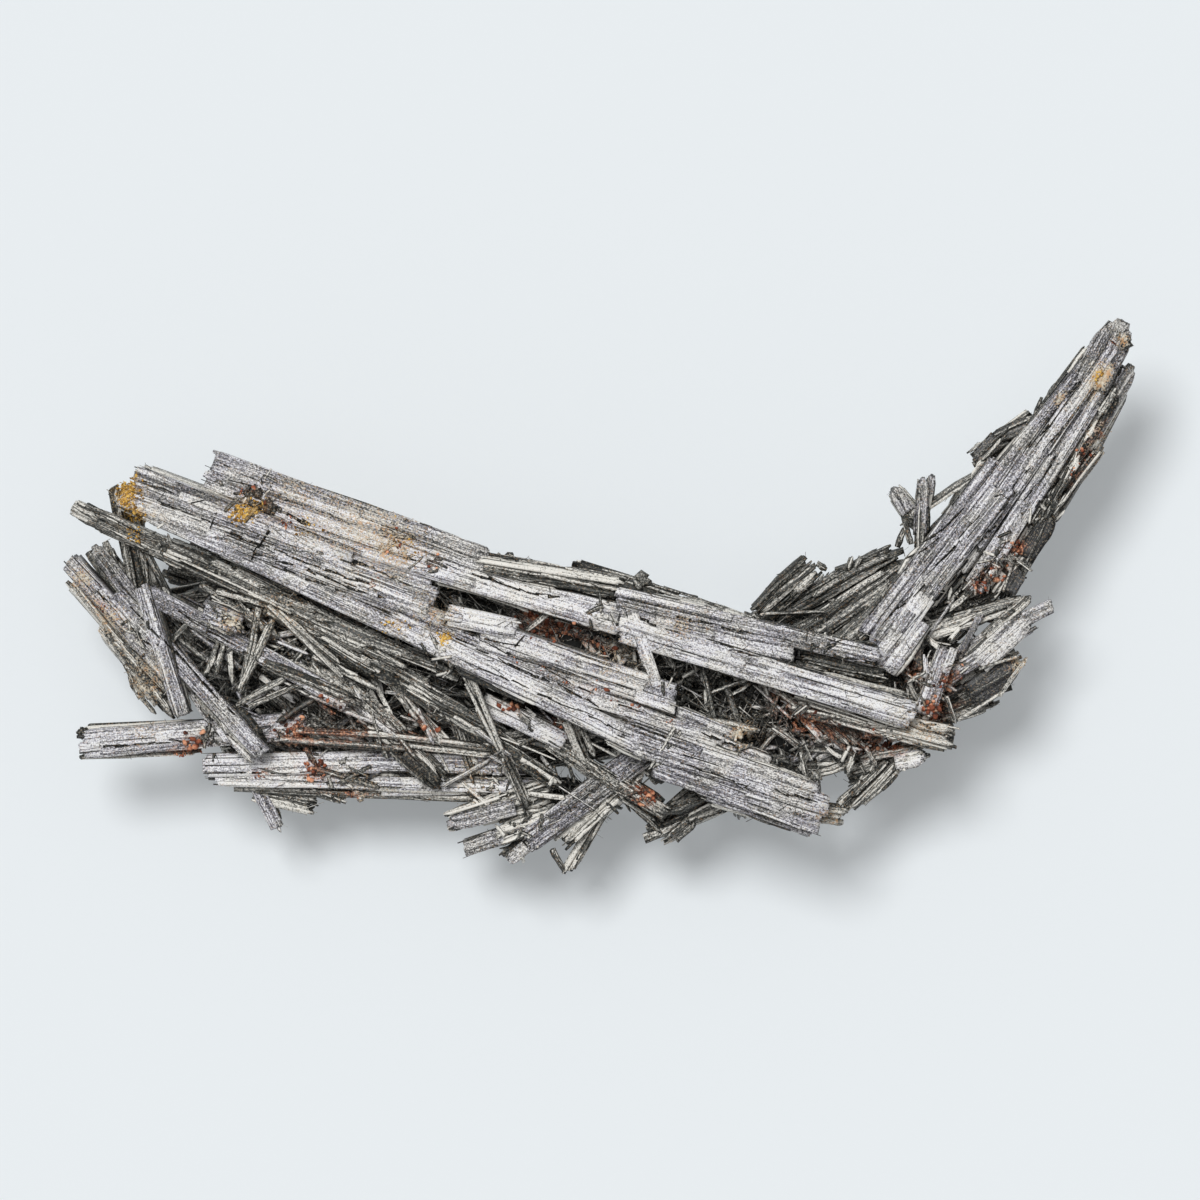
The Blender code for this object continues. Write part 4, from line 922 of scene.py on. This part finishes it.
def lay_plates(stock, bar, bright):
    """Thin slabs on the top of a prism, most edged with dark seams of painted shade."""
    half, side, up = bar.length / 2, bar.side, bar.up
    for _ in range(round(bar.length * bar.width / 26)):
        wide = chance.uniform(0.25, 0.5) * bar.width
        run = chance.uniform(0.2, 0.6) * bar.length
        s = chance.choice((-half, half - run, chance.uniform(-half, half - run)))
        rise = bar.depth / 2 + (chance.uniform(0, 0.3) - 0.35)
        base = bar.middle + side * chance.uniform(-0.5, 0.5) * (bar.width - wide) + up * rise
        swing = side * chance.gauss(0, 0.006) * run
        tone = bright * chance.uniform(0.82, 1.1)
        ends = bar.ends(base, s, s + run, swing)
        stock.lay("slab", *ends, up, wide, 0.8, tone, along=s, silk=1, bow=0.05)
        # Most plates get near-black needles along both edges: painted shade in the seams.
        for edge in (-0.5, 0.5) if chance.random() < 0.6 else ():
            shade_line_at = base + side * edge * wide + up * 0.33
            near, far = s + run * 0.3 * chance.random(), s + run * chance.uniform(0.7, 1)
            ends = bar.ends(shade_line_at, near, far, swing)
            stock.lay("needle", *ends, up, 0.26, 0.2, PAINTED_SEAM_SHADE, along=s)


def dress_slab(stock, bar):
    """A broad bright prism with thin slabs on top and sticks down its sides."""
    half, top = bar.length / 2, bar.depth / 2
    side, up = bar.side, bar.up
    bright = 0.6 + (bar.tone - SILKY) * 1.6
    lay_prisms(stock, bar, bright)
    lay_plates(stock, bar, bright)
    # Near-black needles along both edges paint the shade in the gaps beside the prism.
    for edge in (-0.5, 0.5):
        for s, t in stretches(-half, half, 3, 16):
            if chance.random() < 0.5:
                shade_line_at = bar.middle + side * edge * bar.width * 0.92 + up * (top - 0.1)
                ends = bar.ends(shade_line_at, s, t)
                stock.lay("needle", *ends, up, 0.24, 0.3, PAINTED_SEAM_SHADE, along=s)
    slivers = int(bar.length * bar.width * 0.2)
    lay_slivers(stock, bar, up, side, bar.width * 0.95, top, slivers, silk=0.7)
    if bar.depth > 1.6:
        for out in (side, -side):
            lay_sticks(stock, bar, out, up, bar.depth * 0.6, bar.width * 0.44, 0.8)
    lay_sticks(stock, bar, -up, side, bar.width * 0.8, top, 0.9)


def dress_bundle(stock, bar, pitch):
    """A bundle of sticks round a dark heart."""
    side, up, width, depth = bar.side, bar.up, bar.width, bar.depth
    foot, tip = bar.foot + bar.axis * 0.8, bar.tip - bar.axis * 0.8
    heart = 0.5 * pitch
    stock.lay("stick", foot, tip, up, width - heart, depth - heart, bar.tone * 0.45)
    lay_sticks(stock, bar, up, side, width * 0.94, depth / 2, pitch)
    lay_sticks(stock, bar, -up, side, width * 0.9, depth / 2, pitch * 1.7)
    if depth > 1.4:
        for out in (side, -side):
            lay_sticks(stock, bar, out, up, depth * 0.8, width / 2, pitch * 1.4)
    lay_slivers(stock, bar, up, side, width, depth / 2, int(bar.length * (width + 0.6) * 0.26))
    for out in (side, -side):
        lay_slivers(stock, bar, out, up, depth, width / 2, int(bar.length * 0.1))


def dress_stick(stock, bar):
    """A narrow blade: one stick with finer ones split off along it."""
    foot, tip, side, up, width = bar.foot, bar.tip, bar.side, bar.up, bar.width
    lean = up + side * chance.uniform(-0.5, 0.5)
    stock.lay("stick", foot, tip, lean, width * 0.92, bar.depth * 0.9, bar.tone)
    for _ in range(3 if width > 0.7 else 1):
        shift = side * chance.uniform(-0.38, 0.38) * width
        shift += up * chance.uniform(0.15, 0.42) * bar.depth
        near = foot.lerp(tip, chance.uniform(-0.02, 0.4)) + shift
        far = foot.lerp(tip, chance.uniform(0.55, 1.02)) + shift
        size = width * chance.uniform(0.25, 0.5)
        stock.lay("stick", near, far, up, size, width * 0.36, stick_tone(bar.tone))


def dressed(blades, pitch):
    """The copies for some blades, each built up in the way that suits its size and sheen."""
    stock = Stock()
    for foot, tip, width, depth, roll, tone in blades:
        bar = set_out(foot, tip, width, depth * HEIGHT, roll, tone)
        if width < NARROW:
            dress_stick(stock, bar)
        elif tone >= SILKY:
            dress_slab(stock, bar)
        else:
            dress_bundle(stock, bar, pitch)
    return stock


def rounded_ends():
    stock = Stock()
    for foot, tip, width, depth, roll, tone in ROUNDED:
        bar = set_out(foot, tip, width, depth * HEIGHT, roll, tone)
        stock.lay("tip", bar.foot, bar.tip, bar.up, width, bar.depth, tone, silk=0.7)
    return stock


# The tangle behind the show face


def inside_plan(x, y):
    """Whether a point of the plan lies over the massive part of the cluster."""
    hit = False
    for (ax, ay), (bx, by) in zip(MASS_PLAN, MASS_PLAN[1:] + MASS_PLAN[:1]):
        if (ay > y) != (by > y) and x < ax + (y - ay) / (by - ay) * (bx - ax):
            hit = not hit
    return hit


def over_gap(x, y, margin):
    """Whether a point of the plan lies over an open gap, or within the margin of one."""
    return any(math.hypot(x - gap[0], y - gap[1]) < gap[2] + margin for gap in OPEN_GAPS)


def fits_plan(foot, tip, width):
    """Whether a blade stays over the mass and clear of the open gaps."""
    for i in range(17):
        x, y, _ = foot.lerp(tip, i / 16)
        if not inside_plan(x, y) or over_gap(x, y, width / 2):
            return False
    return True


def random_blade(luck):
    """A blade somewhere in the tangle, most often along the cluster."""
    middle = Vector((luck.uniform(-58, 56), luck.uniform(-27, 15), luck.uniform(*TANGLE_LEVELS)))
    heading = math.radians(luck.choice((-20, -20, -8, 40, -50, 55)) + luck.gauss(0, 12))
    reach, rise = luck.uniform(7, 17), luck.uniform(-3.5, 3.5)
    run = Vector((math.cos(heading) * reach, math.sin(heading) * reach, rise))
    width, depth, roll = luck.uniform(2.2, 4.6), luck.uniform(2.2, 4.4), luck.uniform(-40, 40)
    return middle - run, middle + run, width, depth, roll, 0.45


def tangle():
    """Blades that cross at random behind the show face."""
    luck = random.Random(SEED + 2)
    blades = []
    while len(blades) < TANGLE_COUNT:
        foot, tip, width, *others = random_blade(luck)
        if fits_plan(foot, tip, width):
            blades.append((foot, tip, width, *others))
    return blades


def felt_lump(number, centre, radii, material):
    """The matted heart of a hollow, drawn in where it would stand out from the cluster."""
    bpy.ops.object.select_all(action="DESELECT")
    bpy.ops.mesh.primitive_ico_sphere_add(subdivisions=4, radius=1)
    made = bpy.context.object
    made.name = f"felt_mat_{number}"
    centre, radii = np.array(placed(centre) * MM), np.array(placed(radii) * MM)
    dents = np.random.default_rng(SEED + number)
    mesh = made.data
    points = np.empty(len(mesh.vertices) * 3)
    mesh.vertices.foreach_get("co", points)
    points = points.reshape(-1, 3) * dents.uniform(0.84, 0.97, (len(mesh.vertices), 1))
    places = points * radii + centre
    for place in places:
        while not inside_plan(place[0] / MM, place[1] / MM) and abs(place - centre).max() > MM:
            place += (centre - place) * 0.1
    mesh.vertices.foreach_set("co", places.ravel())
    mesh.update()
    put_in_part(made, material)
    return made


# Sticks and needles in the hollows


def touches(trees, place):
    """Whether one of the pieces is near enough to the place to hold a stick there."""
    return any(tree.find_nearest(placed(place) * MM, TOUCHING * MM)[0] for tree in trees)


def scatter_sticks(stock, trees, count, across, levels, sizes, reaches, headings, tones):
    """Sticks at random over the hollows, each held at both ends."""
    made = 0
    while made < count:
        middle = Vector((chance.uniform(*across), chance.uniform(-27, 14), chance.uniform(*levels)))
        heading = math.radians(chance.choice(headings) + chance.gauss(0, 12))
        reach, width = chance.uniform(*reaches), chance.uniform(*sizes)
        run = pointing(heading, chance.uniform(-0.2, 0.2)) * reach
        foot, tip = middle - run, middle + run
        if not (fits_plan(foot, tip, width) and touches(trees, foot) and touches(trees, tip)):
            continue
        made += 1
        up = Vector((chance.gauss(0, 0.4), chance.gauss(0, 0.4), 1))
        kind = "lath" if width > 0.5 and chance.random() < 0.6 else "stick"
        silk, tone = chance.choice((0, 0, 0.5, 0.9)), chance.choice(tones)
        size, bow = (width, width * 0.7), 0.012 * reach
        stock.lay(kind, placed(foot), placed(tip), up, *size, tone, silk=silk, bow=bow)


def loose_sticks(trees):
    """The sticks that can be told apart in the hollows, and many like them."""
    stock = Stock()
    for foot, tip, width, tone in STICKS:
        dress_stick(stock, set_out(foot, tip, width, width * 0.9, 0, tone))
    for settings in SCATTERED:
        scatter_sticks(stock, trees, *settings)
    return stock


def felt_needles(stock, count, centre, radii):
    """Needles that stand off a lump of felt in all directions."""
    centre, radii = placed(centre), placed(radii)
    for _ in range(count):
        way = random_way(0.4)
        spot = centre + Vector(a * b for a, b in zip(way, radii)) * chance.uniform(0.9, 1.02)
        if over_gap(spot.x, spot.y, 0.8):
            continue
        thick = chance.random() < 0.12
        size = chance.uniform(0.35, 0.85) if thick else chance.uniform(0.13, 0.4)
        tone = chance.choice(FELT_TONES)
        for reach in (chance.uniform(0.6, 3), 1, 0.5):
            heading = chance.choice((-0.45, -0.45, -1, 0.6, 1.4)) + chance.gauss(0, 0.35)
            run = pointing(heading, chance.gauss(0, 0.3)).normalized() * reach
            ends = (spot - run, spot + run)
            if all(inside_plan(0.95 * end.x, 0.94 * end.y - 0.4) for end in ends):
                stock.lay("stick" if thick else "needle", *ends, way, size, size * 0.7, tone)
                break


# What lies on the surface


def refreshed_graph():
    bpy.context.view_layer.update()
    return bpy.context.evaluated_depsgraph_get()


def search_trees(pieces, graph):
    return [BVHTree.FromObject(piece, graph) for piece in pieces]


def top_surface(trees, x, y):
    """The highest point of the pieces over a place in plan, and the way its face looks."""
    best = None
    for tree in trees:
        spot, way, _, _ = tree.ray_cast(Vector((x, y, 100)) * MM, -UP)
        if spot and (best is None or spot.z > best[0].z):
            best = (spot / MM, way)
    return best


def hits_round(trees, spots, density):
    """Places at random on the pieces round the spots: each spot's radius, the place and its way."""
    for x, y, radius, strength in spots:
        for _ in range(int(density * strength * radius**2)):
            spread = radius * 0.55
            hit = top_surface(trees, chance.gauss(x, spread), chance.gauss(y, spread))
            if hit:
                yield radius, *hit


def lay_grooves(stock, trees):
    """Near-black lines of painted shade laid along the grooves, stretch by stretch at the level of what
    lies there.
    """
    for width, *places in GROOVES:
        for start, end in zip(places, places[1:]):
            start, end = Vector((*start, 0)), Vector((*end, 0))
            run = end - start
            side = Vector((-run.y, run.x, 0)).normalized()
            count = max(1, round(run.length / 1.3))
            for i in range(count):
                if chance.random() < 0.12:
                    continue
                middle = start + run * (i + 0.5) / count + side * chance.gauss(0, 0.08)
                hit = top_surface(trees, middle.x, middle.y)
                if hit:
                    reach = run / count * chance.uniform(0.45, 0.8) + side * chance.gauss(0, 0.05)
                    size = width * chance.uniform(0.9, 1.7)
                    spot = hit[0] + Vector((0, 0, 0.06))
                    stock.lay("needle", spot - reach, spot + reach, UP, size, 0.2, PAINTED_GROOVE_SHADE)


def lay_surface_needles(stock, trees):
    """Fine needles split from the crystals all over the show face, most of them along the grain."""
    for _ in range(SURFACE_NEEDLES):
        x, y = chance.uniform(-62, 66), chance.uniform(-30, 34)
        spot, way = top_surface(trees, x, y) or (Vector(), UP)
        if spot.z > 16:
            grain = HORN_HEADING if x > 34 and y > -4 else SLAB_HEADING
            heading = math.radians(grain + chance.choice((0, 0, 0, 60, -50)) + chance.gauss(0, 12))
            reach, size = chance.uniform(0.25, 1.1), chance.uniform(0.07, 0.2)
            run = pointing(heading, 0)
            run = (run - way * run.dot(way)) * reach
            tone = chance.choice(NEEDLE_TONES)
            stock.lay("needle", spot - run, spot + run, way, size, size, tone)


def lay_splinters(stock, trees):
    """Short splinters and grains that have settled at all angles."""
    for _, spot, way in hits_round(trees, DEBRIS, SPLINTER_DENSITY):
        size = chance.uniform(0.16, 0.6)
        kind, reach = "crumb", size * 0.6
        if chance.random() < 0.4:
            kind, reach = "stick", chance.uniform(0.4, 1.3)
        level = Vector((chance.gauss(0, 1), chance.gauss(0, 1), 0))
        run = way.cross(level).normalized() * reach
        tone = chance.choice(SPLINTER_TONES)
        place = spot + way * size * 0.2
        stock.lay(kind, place - run, place + run, way, size, size * 0.6, tone)


def lay_knobs(stock):
    """Broken knobs, each of three grains grown into one."""
    for (x, y, z), size, tone in KNOBS:
        for _ in range(3):
            spread = size * 0.18
            place = placed((x + chance.gauss(0, spread), y + chance.gauss(0, spread), z))
            way = random_way(spread=0.5) * size * 0.4
            shade = tone * chance.uniform(0.7, 1.3)
            stock.lay("crumb", place - way, place + way, UP, size * 0.7, size * 0.6, shade)


def loose_debris(trees):
    stock = Stock()
    lay_grooves(stock, trees)
    lay_surface_needles(stock, trees)
    lay_splinters(stock, trees)
    lay_knobs(stock)
    return stock


def stain_grains(trees, spots, density, sizes, highest):
    """Grains that lie round the stained spots, fewer of them above the highest level."""
    stock = Stock()
    smallest, largest = sizes
    for radius, spot, way in hits_round(trees, spots, density):
        if radius > 0.8 and spot.z > highest and chance.random() > 0.06:
            continue
        size = smallest + (min(largest, 0.8 * radius) - smallest) * chance.random() ** 2
        run = random_way(spread=0.4) * size / 2
        place = spot + way * size * 0.25
        width, depth = size * chance.uniform(0.5, 1), size * chance.uniform(0.3, 0.7)
        stock.lay("crumb", place - run, place + run, way, width, depth, chance.random())
    return stock


# Finishes


def add_node(tree, kind, **settings):
    made = tree.nodes.new(kind)
    for key, value in settings.items():
        setattr(made, key, value)
    return made


class Signal:
    """An output of a node, for use in a formula."""

    def __init__(self, socket):
        self.socket, self.tree = socket, socket.id_data

    def joined(self, operation, other):
        made = add_node(self.tree, "ShaderNodeMath", operation=operation)
        feed(made, {0: self, 1: other})
        return Signal(made.outputs[0])

    def __add__(self, other):
        return self.joined("ADD", other)

    def __mul__(self, other):
        return self.joined("MULTIPLY", other)

    def ranged(self, low, high, to_low=0, to_high=1):
        """The signal, cut off at low and high and then brought to the new range."""
        made = add_node(self.tree, "ShaderNodeMapRange")
        feed(made, {"Value": self, "From Min": low, "From Max": high})
        feed(made, {"To Min": to_low, "To Max": to_high})
        return Signal(made.outputs[0])

    def noise(self, scale, detail=3, roughness=0.6):
        """Noise at a place, with one scale or one for each way."""
        scales = scale if isinstance(scale, tuple) else (scale, scale, scale)
        stretch = add_node(self.tree, "ShaderNodeVectorMath", operation="MULTIPLY")
        feed(stretch, {0: self, 1: scales})
        made = add_node(self.tree, "ShaderNodeTexNoise")
        place = Signal(stretch.outputs[0])
        feed(made, {"Vector": place, "Scale": 1, "Detail": detail, "Roughness": roughness})
        return Signal(made.outputs[0])

    def coloured(self, stops):
        """The colour at this point of a scale of colours."""
        ramp = add_node(self.tree, "ShaderNodeValToRGB")
        elements = ramp.color_ramp.elements
        while len(elements) < len(stops):
            elements.new(0.5)
        for element, (place, colour) in zip(elements, stops):
            element.position = place
            element.color = (*colour, 1)
        feed(ramp, {0: self})
        return Signal(ramp.outputs[0])

    def mixed(self, first, second):
        """The first colour where the signal is 0, the second where it is 1."""
        mix = add_node(self.tree, "ShaderNodeMix", data_type="RGBA")
        feed(mix, {0: self, 6: first, 7: second})
        return Signal(mix.outputs[2])


def feed(node, values):
    """Joins a node's inputs to signals, or sets them to plain values."""
    for key, value in values.items():
        if isinstance(value, Signal):
            value.tree.links.new(value.socket, node.inputs[key])
        else:
            node.inputs[key].default_value = value


def grain_group():
    """Streaks and grooves that run along a crystal, the specks on it, and the height they make."""
    group = bpy.data.node_groups.new("split_grain", "ShaderNodeTree")
    group.interface.new_socket("Grain", in_out="INPUT", socket_type="NodeSocketVector")
    for name in ("Streaks", "Specks", "Grooves", "Relief"):
        group.interface.new_socket(name, in_out="OUTPUT", socket_type="NodeSocketFloat")
    grain = Signal(add_node(group, "NodeGroupInput").outputs["Grain"])
    broad, fine = grain.noise((0.06, 2.6, 2.6), 2), grain.noise((0.16, 6, 6), 1, 0.5)
    band = grain.noise((0.02, 0.9, 0.9), 1, 0.5)
    streaks = broad * 0.35 + fine * 0.35 + band * 0.3
    specks = grain.noise((2.7, 5.5, 5.5), 2)
    grooves = grain.noise((0.05, 2.4, 2.4), 1, 0.5).ranged(0.35, 0.39)
    relief = streaks + specks * 0.4 + grooves * 0.5
    feed(add_node(group, "NodeGroupOutput"), {0: streaks, 1: specks, 2: grooves, 3: relief})
    return group


def attribute(tree, name):
    return Signal(add_node(tree, "ShaderNodeAttribute", attribute_name=name).outputs["Fac"])


def new_material(name):
    """A material, its tree of nodes and its shader."""
    material = bpy.data.materials.new(name)
    material.use_nodes = True
    return material, material.node_tree, material.node_tree.nodes["Principled BSDF"]


def finish_surface(shader, colour, roughness, height, strength, distance):
    """Gives a shader its colour, its roughness and its relief."""
    bump = add_node(shader.id_data, "ShaderNodeBump")
    feed(bump, {"Height": height, "Strength": strength, "Distance": distance})
    relief = Signal(bump.outputs[0])
    feed(shader, {"Base Color": colour, "Roughness": roughness, "Normal": relief})


def crystal_finish(name, group, brightness, contrast, rough, soak):
    """Silver-grey to black split crystal with stains from the piece's own values."""
    material, tree, shader = new_material(name)
    grain = add_node(tree, "ShaderNodeGroup", node_tree=group)
    run = add_node(tree, "ShaderNodeAttribute", attribute_name="grain").outputs["Vector"]
    feed(grain, {"Grain": Signal(run)})
    streaks, specks, grooves, relief = (Signal(output) for output in grain.outputs)
    tone, painted_shade_below, silk = (attribute(tree, key) for key in ("tone", "painted_shade_below", "silk"))
    place = Signal(add_node(tree, "ShaderNodeTexCoord").outputs["Object"])
    glint, fleck, seep = place.noise(5600, 1), place.noise(4000, 1), place.noise(1300)

    # Light and dark: the blade's tone, and on bright blades stronger streaks, mottle and glints.
    light = tone.ranged(-0.5, 2, brightness * -0.2, brightness * 1.8)
    keen = tone.ranged(-0.1, 0.6, 0.35, 1.1)
    light += keen * streaks.ranged(0.38, 0.62, -contrast, contrast)
    light += keen * (specks.ranged(0.34, 0.66, -contrast, contrast) * silk.ranged(0, 1, 1, 0.66))
    light += keen * glint.ranged(0.3, 0.7, -0.27, 0.27)
    light += place.noise(140, 2).ranged(0.3, 0.7, -0.08, 0.08)
    # Painted shade in the fine grooves, half as strong on the smooth blades.
    light *= grooves.ranged(0, 1, -0.7, 0) * silk.ranged(0, 1, 1, 0.5) + 1
    # Painted shade: the lower part of every copy is darkened, so the gaps between laths look shaded.
    light *= painted_shade_below.ranged(0.1, 0.8, 1, 0.22)

    # A cool lilac sheen in patches on the smooth blades, and a duller grey elsewhere.
    tint = place.noise(240, 2) + glint * 0.5
    sheen = silk * tint.ranged(0.67, 0.81, 0.3)
    colour = sheen.mixed(light.coloured(DULL), light.coloured(SILVER))

    # Cream flecks everywhere, thickest at the cream spots, then rust and ochre that soak in.
    cream = attribute(tree, "cream") + 0.26
    cream *= (fleck + cream * cream * 0.2).ranged(0.585, 0.64)
    colour = cream.mixed(colour, seep.coloured(CREAMY))
    for key, stops in (("rust", RUSTY), ("ochre", YELLOW)):
        stain = attribute(tree, key)
        amount = stain * soak * (seep + stain * 0.12).ranged(0.5, 0.58)
        colour = amount.mixed(colour, fleck.coloured(stops))
    roughness = specks.ranged(0.3, 0.7, rough - 0.12, rough + 0.15)
    finish_surface(shader, colour, roughness, relief, 0.8, 0.00016)
    return material


def crumb_finish(name, stops):
    """Earthy oxide or crust, rough all over."""
    material, tree, shader = new_material(name)
    fleck = Signal(add_node(tree, "ShaderNodeTexCoord").outputs["Object"]).noise(700)
    shade = fleck + attribute(tree, "tone").ranged(0, 1, -0.22, 0.12)
    finish_surface(shader, shade.coloured(stops), 0.85, fleck, 0.6, 0.0002)
    return material


# The whole part and its setting


def build():
    """Makes the pieces from the blades inwards and then outwards, to the grains that lie on top."""
    originals = model_originals()
    group = grain_group()
    split = crystal_finish("split_crystal", group, **SPLIT)
    fine = crystal_finish("felted_needles", group, **FELTED)
    dark = crumb_finish("felt_mat", MATTED)
    pieces = []
    for number, (name, blades) in enumerate(BLADES.items()):
        stock = dressed(blades, COARSE_PITCH if name == "back_blades" else STICK_PITCH)
        pieces.append(pile(name, split, stock, originals, SEED + number))
    stock = dressed(tangle(), COARSE_PITCH)
    pieces.append(pile("crossing_blades", split, stock, originals, SEED + 40))
    pieces.append(pile("rounded_blades", split, rounded_ends(), originals, SEED + 45))
    pieces += [felt_lump(number, *lump, dark) for number, lump in enumerate(FELT)]

    trees = search_trees(pieces, refreshed_graph())
    sticks = pile("loose_sticks", split, loose_sticks(trees), originals, SEED + 41)
    stock = Stock()
    for count, lump in zip(FELT_NEEDLES, FELT):
        felt_needles(stock, count, *lump)
    needles = pile("felted_needles", fine, stock, originals, SEED + 42)

    graph = refreshed_graph()
    trees += search_trees([sticks, needles], graph)
    debris = pile("loose_debris", split, loose_debris(trees), originals, SEED + 44)
    trees += search_trees([debris], graph)
    for name, colours, *settings in STAIN_GRAINS:
        stock = stain_grains(trees, *settings)
        pile(name, crumb_finish(name, colours), stock, originals, SEED + 43)


def lay_floor():
    bpy.ops.object.select_all(action="DESELECT")
    bpy.ops.mesh.primitive_plane_add(size=6)
    floor = bpy.context.object
    floor.name = "floor"
    paper, _, shader = new_material("pale_paper")
    feed(shader, {"Base Color": PAPER, "Roughness": 0.9, "Specular IOR Level": 0})
    feed(shader, {"Emission Color": GLOW, "Emission Strength": 0.25})
    floor.data.materials.append(paper)


def set_lights():
    """Two wide soft suns and an even white fill."""
    scene = bpy.context.scene
    for name, (energy, spread, away) in SUNS.items():
        sun = bpy.data.objects.new(name, bpy.data.lights.new(name, "SUN"))
        sun.data.energy = energy
        sun.data.angle = spread
        sun.rotation_euler = Vector(away).to_track_quat("Z", "Y").to_euler()
        scene.collection.objects.link(sun)
    world = bpy.data.worlds.new("studio")
    world.use_nodes = True
    feed(world.node_tree.nodes["Background"], {"Color": (1, 1, 1, 1), "Strength": FILL})
    scene.world = world
    scene.view_settings.view_transform = "Standard"


def set_camera():
    """Looks straight down, with FRAME_WIDTH across the frame at the level of the show face."""
    eye = bpy.data.cameras.new("camera")
    eye.sensor_width = SENSOR
    eye.lens = SENSOR * (CAMERA_HEIGHT - SHOW_LEVEL) / FRAME_WIDTH
    eye.clip_start, eye.clip_end = 0.1, 10
    camera = bpy.data.objects.new("camera", eye)
    camera.location = (0, 0, CAMERA_HEIGHT)
    bpy.context.scene.collection.objects.link(camera)
    bpy.context.scene.camera = camera


build()
lay_floor()
set_lights()
set_camera()
